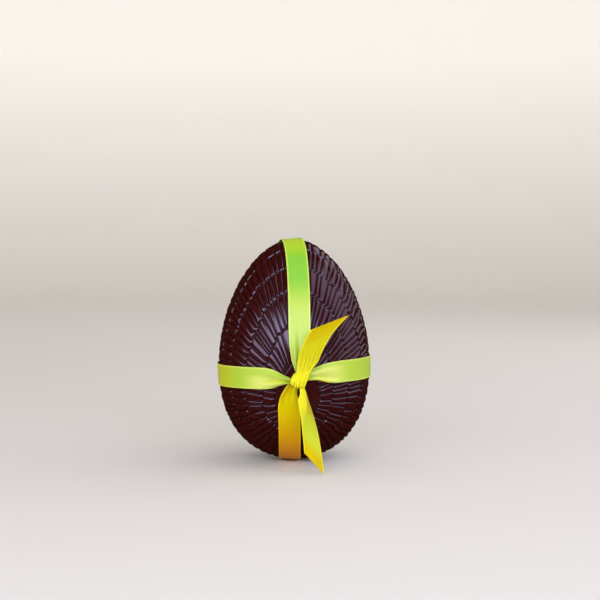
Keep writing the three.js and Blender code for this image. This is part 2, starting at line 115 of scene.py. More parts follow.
# How far a band's ends stand off the egg where they climb to the knot
KNOT_CLIMB = 1.2
KNOT_CLIMB_ANGLE = 16
# The level band passes over the upright band at the back
CROSSING_LIFT = 0.62
CROSSING_FLAT_ANGLE = 9
CROSSING_RAMP_ANGLE = 26
BAND_STEP = 0.8
BAND_SAMPLES = 1600
STRIP_COLUMNS = 49

# Tones, as angles between which they rise, or rise and then fall. The upright band's lower run is painted
# yellow as warm light, and amber at its low end as painted warm light and shade, and its face is painted
# darker and greener over the egg's top as painted shade.
PAINTED_WARM_ANGLES = (256, 276)
DEEP_ANGLES = (296, 350)
FRESH_ANGLES = (45, 63, 70, 81)
# A painted shadow line beside the folded hem: where it rises, the angle at which it is central, and its slope
# per degree
HEM_LINE_ANGLES = (341, 348, 355)
HEM_LINE_SLOPE = 0.085
HEM_LINE_WIDTH = 0.13
HEM_LINE_TONE = 0.6
# Level band: its lower hem right of the knot, a crease left of the knot, and its yellower left end, which is
# painted warm light
RIGHT_HEM_PLACES = (0.74, 0.9)
RIGHT_HEM_ANGLES = (16, 30)
LEFT_CREASE_ANGLES = (331, 343)
LEFT_CREASE_PLACE = 0.28
LEFT_CREASE_WIDTH = 0.09
LEFT_END_ANGLES = (250, 275, 290, 312)
LEFT_END_TONE = 0.6
# Painted sheen, paler beside the knot where the face is gathered and catches the light: (angles, places
# across between which it rises, amount)
PAINTED_SHEEN_PARTS = (((5, 12, 24, 44), (-0.9, -0.3), 0.85), ((312, 334, 346, 354), (-0.5, 0.1), 0.8))
# Tails, by shares of their length: where the upper one's painted lemon highlight ends and its painted gold
# shade rises, and where the lower one's crease begins and ends to part its tones, a painted highlight left of
# it and painted shade right of it, and its gold rises
TAIL_UP_SHARES = ((0.22, 0.44), (0.6, 1.0))
TAIL_DOWN_SHARES = ((0.06, 0.16), (0.34, 0.5), (0.68, 0.96))
CREASE_SIDES = (-0.1, 0.15)
CREASE_TONES = (-0.4, 0.5)
# Painted highlight along the lower tail where it catches the light: shares where it rises and falls, and its
# amount
SHINING_SHARES = (0.36, 0.5, 0.74, 0.92)
SHINE = 0.6
# The knot's tone: the painted lemon highlight
KNOT_TONE = -1
# Colours of the satin's shine on its plain tone and on its yellow, amber and golden tones
FACE_GLINTS = ("fffff0", "ffd820")
REVERSE_GLINTS = ("fff468", "ffd820")

# Pleats: ridges across the ribbon, each (place from -1 to 1, half-width, height)
PLEAT_ROUNDNESS = 1.4
PLEAT_HEIGHT_LIMIT = 4.0
PLEAT_BISECTIONS = 30
PLEAT_SLACK = 0.01
UPPER_ARM_PLEATS = ((-0.5, 0.4, 1.0), (0.4, 0.5, 0.8))
LOWER_ARM_PLEATS = ((-0.78, 0.2, 1.0), (-0.2, 0.35, 0.5), (0.55, 0.4, 0.9))
RIGHT_ARM_PLEATS = ((-0.25, 0.7, 1.0), (0.84, 0.18, 0.7))
LEFT_ARM_PLEATS = ((-0.4, 0.6, 1.0), (0.62, 0.34, 0.9))
TAIL_PLEATS = (
    (-0.8, 0.2, 0.7), (-0.42, 0.2, 1.0), (-0.05, 0.18, 0.7), (0.3, 0.2, 1.0), (0.72, 0.25, 0.8),
)

# Edges of the two tails, from inside the knot to the cut end. The upper one rolls out under the knot and
# up over its front.
TAIL_UP_LEFT = (
    (-0.9, -38.9, 41.3), (-1.7, -40.3, 39.5), (-2.1, -41.5, 39.2), (-1.9, -42.3, 41.0),
    (-1.4, -42.5, 44.9), (-1.0, -42.3, 47.2), (-0.6, -42.3, 50.6), (0.0, -42.8, 53.6),
    (1.5, -43.6, 57.8), (3.5, -44.6, 62.3), (5.3, -45.2, 65.0),
)
TAIL_UP_RIGHT = (
    (1.5, -38.9, 41.3), (2.2, -40.1, 39.4), (2.8, -41.3, 39.2), (3.5, -42.0, 41.2),
    (4.8, -42.2, 44.4), (6.2, -42.2, 47.1), (8.5, -42.3, 50.2), (10.1, -42.8, 54.1),
    (12.6, -43.6, 59.3), (15.9, -44.6, 64.5), (22.1, -45.7, 71.5),
)
TAIL_DOWN_LEFT = (
    (0.1, -38.8, 41.4), (0.1, -40.2, 39.9), (0.4, -41.2, 38.0), (0.5, -41.7, 36.0),
    (-0.4, -42.3, 33.0), (-0.1, -42.8, 30.4), (0.8, -43.4, 24.7), (1.5, -43.9, 18.5),
    (2.2, -44.6, 9.5),
)
TAIL_DOWN_RIGHT = (
    (1.4, -38.8, 41.4), (2.0, -40.0, 39.9), (2.6, -40.2, 38.3), (3.4, -39.4, 36.4),
    (4.7, -38.3, 32.0), (7.1, -37.6, 24.5), (9.1, -38.8, 16.3), (10.4, -42.8, 7.2), (10.9, -48.0, 0.45),
)
# Lengthwise crease of the lower tail: (share of its length, place across, height)
TAIL_DOWN_CREASE = (
    (0, 0.3, 0.5), (0.14, 0.25, 0.9), (0.28, 0.0, 1.4), (0.4, -0.35, 1.2), (0.56, -0.8, 0.4),
    (0.66, -0.9, 0), (1, -0.9, 0),
)
TAIL_ROWS = 90
TAIL_UP_BOW = 0.5
TAIL_DOWN_BOW = 0.4
# A tail's bow ends at 1 / BOW_REACH of its length, and its pleats fade out between these shares of it
BOW_REACH = 1.4
PLEAT_FADE = (0.3, 0.75)

# Knot: a wrapped lump that leans from the lower left up to the right, with folds along it
KNOT_CENTRE = (-1.5, -39.9, 42.4)
KNOT_HALF_SIZE = (1.75, 2.1, 3.4)
KNOT_WIDENING = 0.1
KNOT_TURN = 0.52
KNOT_FOLDS = 7
KNOT_FOLD_DEPTH = 0.2
KNOT_FOLD_TWIST = 0.5
KNOT_FOLD_BEND = 0.25
KNOT_FOLD_SHARPNESS = 0.6
KNOT_CLOTH_TIGHTNESS = 0.8
KNOT_ROUND_STEPS = 96
KNOT_HEIGHT_STEPS = 56

# Camera: place, and angles of its line of sight
CAMERA_PLACE = (-0.03386, -0.64612, 0.10670)
CAMERA_PITCH = -2.70
CAMERA_YAW = 3.25
CAMERA_LENS = 81.08
# Light that the studio's wall gives off of itself, against 1 for full white, and the height where it does
WALL_GLOW = 0.45
WALL_GLOW_HEIGHT = 0.5
# Softboxes: azimuth from straight ahead and elevation in degrees, distance, (width, height), colour
LIGHTS = {
    "key": (-4, 23, 0.95, (1.3, 0.4), "eef0ff"),
    "top": (60, 66, 0.9, (0.5, 0.5), "fffcf8"),
    "side": (78, 30, 0.9, (1.5, 0.8), "eef0ff"),
    "fill": (-62, 12, 1.1, (0.8, 0.35), "f8f6ff"),
    "back": (142, 36, 1.0, (0.5, 0.5), "eef0ff"),
}
LIGHTS_AIM = Vector((0, 0, 0.05))
BACKDROP_PLACE = Vector((0, 0.7, 1.9))
BACKDROP_SIGHT = Vector((0, 1.2, -1.1))
BACKDROP_SIZE = (2.4, 0.8)
AIR_COLOUR = "d07858"

# What the blocks' base mesh tells the relief about each vertex
FIELDS = ("side_gap", "end_gap", "across", "groove_share", "block")
SOCKET_KINDS = {float: "NodeSocketFloat", int: "NodeSocketInt", Material: "NodeSocketMaterial"}


def from_hex(text):
    """Linear colour of an sRGB hex value."""
    parts = [int(text[i:i + 2], 16) / 255 for i in (0, 2, 4)]
    linear = [p / 12.92 if p <= 0.04045 else ((p + 0.055) / 1.055) ** 2.4 for p in parts]
    return (*linear, 1.0)


def seeded_random(seed):
    """Seeded whole-number generator, the same as the solids use."""
    factor, modulus = 16807, 2147483647
    state = seed
    while True:
        state = (state * factor) % modulus
        yield state / modulus


def smooth_step(low, high, value):
    """Smooth rise from 0 at the low value to 1 at the high one."""
    t = np.clip((value - low) / (high - low), 0, 1)
    return t * t * (3 - 2 * t)


def along(table, position):
    """Smooth curve through a table of (position, value) rows."""
    last = len(table) - 1
    i = 0
    while i < last - 1 and position > table[i + 1][0]:
        i += 1
    (p0, v0), (p1, v1) = table[i], table[i + 1]

    def slope(a, b):
        return (table[b][1] - table[a][1]) / (table[b][0] - table[a][0])

    s0 = slope(i - 1, i + 1) if i > 0 else slope(0, 1)
    s1 = slope(i, i + 2) if i + 2 <= last else slope(last - 1, last)
    span = p1 - p0
    t = min(1.0, max(0.0, (position - p0) / span))
    rise = (1 - t) * (1 - t) * (v0 * (1 + 2 * t) + s0 * span * t)
    return rise + t * t * (v1 * (3 - 2 * t) - s1 * span * (1 - t))


def unit(vectors):
    """Vectors of length 1."""
    return vectors / np.linalg.norm(vectors, axis=-1, keepdims=True)


def new_mesh(name, points, faces):
    """Mesh of points in metres."""
    mesh = bpy.data.meshes.new(name)
    mesh.from_pydata(np.asarray(points).tolist(), [], [tuple(map(int, face)) for face in faces])
    return mesh


def store(mesh, name, values, kind="FLOAT"):
    """Stores a value for each vertex as an attribute."""
    values = np.ascontiguousarray(values, np.int32 if kind == "INT" else np.float32)
    field = "vector" if kind == "FLOAT_VECTOR" else "value"
    mesh.attributes.new(name, kind, "POINT").data.foreach_set(field, values.ravel())


def lay_cloth(mesh, flat):
    """Stores the cloth coordinates of each face's corners, in metres, as a UV map."""
    mesh.uv_layers.new(name="cloth").data.foreach_set("uv", flat.astype(np.float32).ravel())


def linked(name, mesh, material=None):
    """Object for a mesh, smooth shaded and linked to the scene."""
    mesh.name = name
    mesh.polygons.foreach_set("use_smooth", [True] * len(mesh.polygons))
    if material:
        mesh.materials.append(material)
    made = bpy.data.objects.new(name, mesh)
    bpy.context.collection.objects.link(made)
    return made


# --- Egg surface ---

def squared_radius(z):
    """Square of the egg's radius at a height."""
    u = 2 * (z - PROFILE_BASE_Z) / PROFILE_HEIGHT - 1
    a, b, c = PROFILE_TAPER
    swell = 1 + a * u + b * u * u + c * u * u * u
    return PROFILE_RADIUS ** 2 * (1 - u * u) * swell * swell


def egg_normal(points):
    """Outward directions of the egg at points of its surface."""
    step = 0.001
    z = points[..., 2]
    fall = (squared_radius(z + step) - squared_radius(z - step)) / (4 * step)
    return unit(np.stack([points[..., 0], points[..., 1], -fall], axis=-1))


def distance_to_shell(start, direction):
    """Distance at which rays that start inside the egg leave it."""
    inside = np.zeros(direction.shape[:-1])
    outside = np.full(direction.shape[:-1], 2 * PROFILE_HEIGHT)
    for _ in range(BISECTIONS):
        middle = (inside + outside) / 2
        point = start + direction * middle[..., None]
        within = point[..., 0] ** 2 + point[..., 1] ** 2 < squared_radius(point[..., 2])
        inside = np.where(within, middle, inside)
        outside = np.where(within, outside, middle)
    return inside


def shell_point(azimuth, polar):
    """Points of the shell at azimuths (0 upwards, 90 at +X) and polar angles from the front patch."""
    azimuth, polar = np.broadcast_arrays(np.asarray(azimuth, float), np.asarray(polar, float))
    across, up = np.sin(np.radians(azimuth)), np.cos(np.radians(azimuth))
    zero = np.zeros_like(up)
    centre_z = PATCH_CENTRE_Z + PATCH_STRETCH * up
    start = np.stack([zero, zero, centre_z], axis=-1)
    direction = np.stack([across, zero, up], axis=-1)
    reach = distance_to_shell(start, direction) * np.sin(np.radians(polar))
    x, z = reach * across, centre_z + reach * up
    depth = np.sqrt(np.maximum(0, squared_radius(z) - x * x))
    return np.stack([x, np.where(polar < 90, -depth, depth), z], axis=-1)


def mm_per_degree(azimuth, polar):
    """Width of one degree of azimuth."""
    inside = min(180 - POLE_MARGIN, max(POLE_MARGIN, polar))
    ahead, behind = shell_point([azimuth + 0.5, azimuth - 0.5], inside)
    return np.linalg.norm(ahead - behind)


# --- Layout of the blocks ---

def groove_azimuths(middle_polar, pitch, draw):
    """Azimuths of the grooves between the blocks of one ring."""
    azimuths, azimuth = [], 0.0
    while azimuth < 360:
        azimuths.append(azimuth)
        towards_top = max(0, math.cos(math.radians(azimuth)))
        width = pitch[1] + (pitch[0] - pitch[1]) * towards_top
        spread = 1 + PITCH_SPREAD * (2 * next(draw) - 1)
        azimuth += width * spread / mm_per_degree(azimuth, middle_polar)
    start = next(draw) * FIRST_GROOVE_SPREAD
    return [start + value * 360 / azimuth for value in azimuths]


def lay_out_rings(draw):
    """For each ring of one face, the azimuths of its grooves at its inner and outer limits."""
    rings = []
    for number, pitch in enumerate(RING_PITCH):
        middle = (RING_LIMITS[number][0] + RING_LIMITS[number + 1][0]) / 2
        azimuths = groove_azimuths(middle, pitch, draw)
        gap = 360 / len(azimuths)
        inner = np.array([value + gap * BLOCK_SKEW * (next(draw) - 0.5) for value in azimuths])
        outer = np.array([value + gap * BLOCK_SKEW * (next(draw) - 0.5) for value in azimuths])
        rings.append([inner, outer])
    return rings


def lay_out_egg():
    """Rings from the front patch (polar 0) to the back patch (polar 180), with their limits."""
    draw = seeded_random(RELIEF_SEED)
    front = lay_out_rings(draw)
    back = [[outer, inner] for inner, outer in lay_out_rings(draw)][::-1]
    rings = front + back
    limits = RING_LIMITS + [(180 - polar, -upper, -lower) for polar, upper, lower in RING_LIMITS[-2::-1]]
    phases = [(next(draw) * 360, next(draw) * 360) for _ in limits]
    for joint in range(1, len(rings)):
        line_up_grooves(rings[joint - 1][1], rings[joint][0], limits[joint][0])
    return {"rings": rings, "limits": limits, "phases": phases}


def line_up_grooves(before, after, polar):
    """Grooves that nearly meet across a joint are made to meet."""
    for index, value in enumerate(after):
        reach = MERGE_DISTANCE / mm_per_degree(value, polar)
        difference = (before - value + 180) % 360 - 180
        near = np.flatnonzero(np.abs(difference) < reach)
        if len(near):
            after[index] = value + difference[near[0]]


def limit_polar(layout, joint, azimuth):
    """Polar angles of a ring's limit, which dips towards the ends and waves."""
    base, upper_dip, lower_dip = layout["limits"][joint]
    if base == 90:
        return np.full(np.shape(azimuth), 90.0)
    phases = layout["phases"][joint]
    waves = list(zip(SLOW_WAVES, phases))
    if 0 < joint < len(layout["limits"]) - 1:
        waves += [(ripple, phases[1]) for ripple in JOINT_RIPPLES]
    wave = sum(share * np.sin(np.radians(count * azimuth + phase)) for (count, share), phase in waves)
    upwards = np.cos(np.radians(azimuth))
    return base - np.where(upwards > 0, upper_dip, lower_dip) * upwards ** 2 + RING_WAVE * wave


# --- Egg base mesh ---

def stepped(index, count, steps, size):
    """Shares of a size at which vertices stand: these steps in from both ends, and evenly in between."""
    last = len(steps) - 1
    mirrored = count - index
    near_end = np.array(steps)[np.minimum(np.minimum(index, mirrored), last)] / size
    even = steps[last] / size + (1 - 2 * steps[last] / size) * (index - last) / (count - 2 * last)
    return np.where(index < last, near_end, np.where(mirrored < last, 1 - near_end, even))


def block_grid(layout, number):
    """Vertices of one ring, as arrays of (block, column, row), with what the relief needs to know."""
    inner, outer = layout["rings"][number]
    inner_next = np.append(inner[1:], inner[0] + 360)
    outer_next = np.append(outer[1:], outer[0] + 360)
    near = shell_point(inner, limit_polar(layout, number, inner))
    far = shell_point(outer, limit_polar(layout, number + 1, outer))
    near_width, far_width = (
        np.linalg.norm(line - np.roll(line, -1, 0), axis=-1)[:, None, None] for line in (near, far))
    length = np.linalg.norm(near - far, axis=-1)

    column = np.arange(BLOCK_COLUMNS)[None, :, None]
    row = np.arange(BLOCK_ROWS)[None, None, :]
    own = length[:, None, None]
    length = own + (np.roll(length, -1)[:, None, None] - own) * column / BLOCK_COLUMNS
    share = stepped(row, BLOCK_ROWS - 1, END_STEPS, length)
    width = near_width + (far_width - near_width) * share
    squeeze = np.minimum(1, width / NARROW_WIDTH)
    across = stepped(column, BLOCK_COLUMNS, SIDE_STEPS, width / squeeze)

    def spread(values, following, part):
        return values[:, None, None] + (following - values)[:, None, None] * part

    azimuth_in = spread(inner, inner_next, across)
    azimuth_out = spread(outer, outer_next, across)

    def place(first, second, part):
        start, end = limit_polar(layout, number, first), limit_polar(layout, number + 1, second)
        return shell_point(first + (second - first) * part, start + (end - start) * part)

    points = place(azimuth_in, azimuth_out, share)
    left = place(spread(inner, inner_next, 0), spread(outer, outer_next, 0), share)
    right = place(spread(inner, inner_next, 1), spread(outer, outer_next, 1), share)
    start = shell_point(azimuth_in, limit_polar(layout, number, azimuth_in))
    end = shell_point(azimuth_out, limit_polar(layout, number + 1, azimuth_out))

    def gap(others):
        return np.linalg.norm(points - others, axis=-1)

    seam_joint = len(RING_PITCH)
    no_gap = np.full(across.shape, FAR_GAP)
    seam_gap = {seam_joint - 1: gap(end), seam_joint: gap(start)}.get(number, no_gap)
    blocks = np.arange(len(inner))[:, None, None] + RING_NUMBERS * number
    return {
        "points": points,
        "azimuth": azimuth_in + (azimuth_out - azimuth_in) * share,
        "side_gap": np.minimum(gap(left), gap(right)),
        "end_gap": np.minimum(gap(start), gap(end)),
        "across": across,
        "groove_share": 1 - (1 - SEAM_SHARE) * np.exp(-(seam_gap / SEAM_REACH) ** 2),
        "block": np.broadcast_to(blocks, across.shape),
    }


def patch_loop(layout, joint, count, rim_gap=None, radius_share=None):
    """A closed loop inside a face's smooth patch."""
    azimuth = np.arange(count) * 360 / count
    centre = 180.0 if joint else 0.0
    limit = limit_polar(layout, joint, azimuth)
    rim = shell_point(azimuth, limit)
    radius = np.linalg.norm(rim - shell_point(azimuth, centre), axis=-1)
    if radius_share is None:
        radius_share = 1 - rim_gap / radius
    points = shell_point(azimuth, centre + (limit - centre) * radius_share)
    end_gap = np.linalg.norm(points - rim, axis=-1)
    return {"points": points, "azimuth": azimuth, **patch_fields(joint, count, end_gap)}


def patch_fields(joint, count, end_gap):
    """Relief fields of vertices in a smooth patch."""
    values = {"side_gap": FAR_GAP, "across": 0.5, "groove_share": 1, "block": PATCH_NUMBER + joint}
    return {"end_gap": end_gap, **{name: np.full(count, value) for name, value in values.items()}}


class ShellBuilder:
    """Collects vertices with their relief fields, and the faces between them."""

    def __init__(self):
        self.points, self.fields, self.faces, self.count = [], {name: [] for name in FIELDS}, [], 0

    def add(self, part):
        """Adds a part's vertices and returns their indices in the part's own shape."""
        shape = part["points"].shape[:-1]
        size = int(np.prod(shape))
        self.points.append(part["points"].reshape(-1, 3))
        for name in FIELDS:
            self.fields[name].append(np.asarray(part[name], float).reshape(-1))
        self.count += size
        return np.arange(self.count - size, self.count).reshape(shape)

    def zip_loops(self, near, near_azimuth, far, far_azimuth):
        """Triangles between two closed loops whose vertices stand at these azimuths."""
        offset = (far_azimuth - near_azimuth[0] + 180) % 360 - 180
        first = int(np.argmin(np.abs(offset)))
        far, far_azimuth = np.roll(far, -first), np.roll(far_azimuth, -first)
        far_azimuth = near_azimuth[0] + offset[first] + (far_azimuth - far_azimuth[0]) % 360
        near, far = np.append(near, near[0]), np.append(far, far[0])
        near_azimuth = np.append(near_azimuth, near_azimuth[0] + 360)
        far_azimuth = np.append(far_azimuth, far_azimuth[0] + 360)
        middles = [azimuth[:-1] + azimuth[1:] for azimuth in (near_azimuth, far_azimuth)]
        i = j = 0
        for edge in np.argsort(np.concatenate(middles), kind="stable"):
            if edge < len(near) - 1:
                self.faces.append((near[i], near[i + 1], far[j]))
                i += 1
            else:
                self.faces.append((near[i], far[j + 1], far[j]))
                j += 1

    def add_quads(self, index):
        """Faces of a grid of (column, row) whose columns close on themselves."""
        following = np.roll(index, -1, 0)
        corners = (index[:, :-1], following[:, :-1], following[:, 1:], index[:, 1:])
        self.faces.extend(map(tuple, np.stack(corners, axis=-1).reshape(-1, 4)))

    def add_patch(self, layout, joint, rim, rim_azimuth):
        """Fills a face's smooth patch inside its innermost loop of block vertices."""
        loops = [patch_loop(layout, joint, count, rim_gap=gap) for gap, count in PATCH_RIM_LOOPS]
        loops += [patch_loop(layout, joint, count, radius_share=share) for share, count in PATCH_INNER_LOOPS]
        for part in loops:
            loop = self.add(part)
            if joint:
                self.zip_loops(rim, rim_azimuth, loop, part["azimuth"])
            else:
                self.zip_loops(loop, part["azimuth"], rim, rim_azimuth)
            rim, rim_azimuth = loop, part["azimuth"]
        middle = shell_point([0.0], 180.0 if joint else 0.0)
        centre = self.add({"points": middle, **patch_fields(joint, 1, FAR_GAP)})[0]
        for a, b in zip(rim, np.roll(rim, -1)):
            self.faces.append((a, b, centre) if joint else (b, a, centre))


def egg_base_mesh():
    """The egg's shell with a vertex layout that follows its blocks, not yet in relief."""
    layout = lay_out_egg()
    builder = ShellBuilder()
    loops = []
    for number in range(len(layout["rings"])):
        part = block_grid(layout, number)
        index = builder.add(part).reshape(-1, BLOCK_ROWS)
        azimuth = part["azimuth"].reshape(-1, BLOCK_ROWS)
        builder.add_quads(index)
        loops.append((index[:, 0], azimuth[:, 0], index[:, -1], azimuth[:, -1]))
    for (_, _, near, near_azimuth), (far, far_azimuth, _, _) in zip(loops, loops[1:]):
        builder.zip_loops(near, near_azimuth, far, far_azimuth)
    builder.add_patch(layout, 0, loops[0][0], loops[0][1])
    builder.add_patch(layout, len(layout["rings"]), loops[-1][2], loops[-1][3])

    points = np.concatenate(builder.points)
    mesh = new_mesh("chocolate_shell", points * MM, builder.faces)
    for name in FIELDS:
        scale = MM if name in ("side_gap", "end_gap") else 1
        values = np.concatenate(builder.fields[name]) * scale
        store(mesh, name, values, "INT" if name == "block" else "FLOAT")
    store(mesh, "outward", egg_normal(points), "FLOAT_VECTOR")
    return mesh


# --- Nodes ---

def set_inputs(tree, node, inputs):
    """Joins a node's inputs to sockets, or sets them."""
    for key, value in inputs.items():
        if isinstance(value, NodeSocket):
            tree.links.new(value, node.inputs[key])
        else:
            node.inputs[key].default_value = value


def add_node(tree, kind, *inputs, output=0, **settings):
    """Adds a node with these settings, and returns one of its outputs. Its inputs are given in order, or as
    one dict of their names or numbers."""
    node = tree.nodes.new(kind)
    for name, value in settings.items():
        setattr(node, name, value)
    by_key = inputs[0] if inputs and isinstance(inputs[0], dict) else dict(enumerate(inputs))
    set_inputs(tree, node, by_key)
    return node.outputs[output] if node.outputs else None


def arithmetic(tree):
    """Short forms of add_node for a tree's sums: any operation, a * b, a - b and a * b + c."""
    calculate = partial(add_node, tree, "ShaderNodeMath")
    operations = ("MULTIPLY", "SUBTRACT", "MULTIPLY_ADD")
    return calculate, *(partial(calculate, operation=operation) for operation in operations)


def relief_tree(inputs):
    """Geometry Nodes that sink the grooves, round the blocks' shoulders and make each block a bit uneven."""
    tree = bpy.data.node_groups.new("Moulded relief", "GeometryNodeTree")
    for way in ("INPUT", "OUTPUT"):
        tree.interface.new_socket("Geometry", in_out=way, socket_type="NodeSocketGeometry")
    for name, value in inputs.items():
        tree.interface.new_socket(name, in_out="INPUT", socket_type=SOCKET_KINDS[type(value)])
    source = tree.nodes.new("NodeGroupInput").outputs
    calculate, times, less, times_plus = arithmetic(tree)
    kinds = {"block": "INT", "outward": "FLOAT_VECTOR"}
    fields = {
        name: add_node(tree, "GeometryNodeInputNamedAttribute", {"Name": name}, output="Attribute",
                       data_type=kinds.get(name, "FLOAT"))
        for name in (*FIELDS, "outward")
    }

    def rounded_rise(gap, shoulder):
        """0 on a groove's floor, rising in a quarter round to 1 at the shoulder."""
        beyond = less(gap, source["Groove floor"])
        short = less(1.0, calculate(beyond, shoulder, operation="DIVIDE", use_clamp=True))
        return calculate(less(1.0, times(short, short)), operation="SQRT")

    def chance(seed_offset, low, high):
        """A random value for each block."""
        # Sockets of the node's kind for plain numbers
        lowest, highest, result = 2, 3, 1
        seed = calculate(source["Seed"], seed_offset, operation="ADD")
        inputs = {"ID": fields["block"], "Seed": seed, lowest: low, highest: high}
        return add_node(tree, "FunctionNodeRandomValue", inputs, output=result, data_type="FLOAT")

    side_shoulder = times(source["Side shoulder"], chance(4.0, 0.8, 1.6))
    end_shoulder = times(source["End shoulder"], chance(3.0, 0.25, 2.1))
    side_rise = rounded_rise(fields["side_gap"], side_shoulder)
    rise = times(side_rise, rounded_rise(fields["end_gap"], end_shoulder))
    off_centre = times_plus(fields["across"], 2.0, -1.0)
    crown = times(times(off_centre, off_centre), times(source["Crown"], chance(2.0, 0.4, 1.6)))
    height = times(chance(0.0, 0.0, 1.0), source["Height spread"])
    tilt = times(times(chance(1.0, -1.0, 1.0), source["Tilt"]), off_centre)
    position = add_node(tree, "GeometryNodeInputPosition")
    waves_per_metre = calculate(1.0, source["Wave size"], operation="DIVIDE")
    wave = add_node(tree, "ShaderNodeTexNoise", {"Vector": position, "Scale": waves_per_metre})
    wave = times(less(wave, 0.5), source["Wave"])
    drop = calculate(crown, calculate(height, tilt, operation="ADD"), operation="ADD")
    depth = times(source["Relief depth"], fields["groove_share"])
    offset = times_plus(less(wave, drop), rise, times(depth, less(rise, 1.0)))
    inputs = {0: fields["outward"], "Scale": offset}
    move = add_node(tree, "ShaderNodeVectorMath", inputs, operation="SCALE")
    moved = add_node(tree, "ShaderNodeVectorMath", position, move, operation="ADD")
    parts = add_node(tree, "ShaderNodeSeparateXYZ", moved).node.outputs
    resting = calculate(parts["Z"], source["Rest height"], operation="MAXIMUM")
    placed = add_node(tree, "ShaderNodeCombineXYZ", parts["X"], parts["Y"], resting)
    geometry = source["Geometry"]
    for kind, inputs in (
        ("GeometryNodeSetPosition", {"Position": placed}),
        ("GeometryNodeStoreNamedAttribute", {"Name": "rise", "Value": rise}),
        ("GeometryNodeRealizeInstances", {}),
        ("GeometryNodeSetMaterial", {"Material": source["Chocolate"]}),
    ):
        geometry = add_node(tree, kind, {"Geometry": geometry, **inputs})
    add_node(tree, "NodeGroupOutput", {"Geometry": geometry})
    return tree


def modelled(name, base, tree, values):
    """Plain mesh object of a base mesh shaped by a node tree with these input values."""
    worked = linked(name + "_base", base)
    modifier = worked.modifiers.new("Shape", "NODES")
    modifier.node_group = tree
    for item in tree.interface.items_tree:
        if item.name in values:
            modifier[item.identifier] = values[item.name]
    evaluated = worked.evaluated_get(bpy.context.evaluated_depsgraph_get())
    mesh = bpy.data.meshes.new_from_object(evaluated)
    bpy.data.objects.remove(worked)
    return linked(name, mesh)


# --- Materials ---

def new_material(name):
    """A material with its tree and its Principled shader."""
    material = bpy.data.materials.new(name)
    material.use_nodes = True
    tree = material.node_tree
    return material, tree, tree.nodes["Principled BSDF"]


def laid_over(tree, colour, *layers):
    """A colour with others laid over it in turn, each given as its amount and colour."""
    # Sockets of the node's kind for colours
    under, over, result = 6, 7, 2
    for amount, layer in layers:
        inputs = {"Factor": amount, under: colour, over: layer}
        colour = add_node(tree, "ShaderNodeMix", inputs, output=result, data_type="RGBA")
    return colour


def moulded_dark_chocolate(colours):
    """Tempered dark chocolate from a polished mould: near-black brown, softly glossy on the blocks' tops,
    duller down in the grooves, with faint orange peel and a few pin-hole bubbles."""
    material, tree, shader = new_material("tempered_dark_chocolate_moulded")
    _, times, less, times_plus = arithmetic(tree)
    place = add_node(tree, "ShaderNodeTexCoord", output="Object")
    rise = add_node(tree, "ShaderNodeAttribute", output="Fac", attribute_name="rise")
    # Clouds 18 mm across from the cocoa butter's setting, and orange peel 0.9 mm from crest to crest
    cloud = add_node(tree, "ShaderNodeTexNoise", {"Vector": place, "Scale": 1 / 0.018, "Detail": 3.0})
    peel = add_node(tree, "ShaderNodeTexNoise", {"Vector": place, "Scale": 1 / 0.0009})
    # Pin-hole bubbles, 0.25 mm wide and some 4 mm apart
    from_hole = add_node(
        tree, "ShaderNodeTexVoronoi", {"Vector": place, "Scale": 1 / 0.004}, output="Distance")
    bubble = add_node(tree, "ShaderNodeMapRange", {"Value": from_hole, "From Min": 0.02, "From Max": 0.05})
    # Paler clouds at random, and painted shade down in the grooves
    tone = laid_over(tree, colours.chocolate, (times(cloud, 0.8), colours.chocolate_light),
                     (less(1.0, rise), colours.chocolate_groove))
    # Rougher only in the lower half of the grooves' depth
    deep = times_plus(rise, -2.0, 1.0, use_clamp=True)
    pits = {"Height": times_plus(peel, 0.3, bubble), "Strength": 0.2, "Distance": 0.0001}
    set_inputs(tree, shader, {
        "Base Color": tone, "Roughness": times_plus(deep, 0.2, times_plus(cloud, 0.1, 0.12)),
        "Normal": add_node(tree, "ShaderNodeBump", pits),
        "IOR": 1.48, "Specular IOR Level": 0.95, "Specular Tint": from_hex("e0dcff"),
    })
    return material


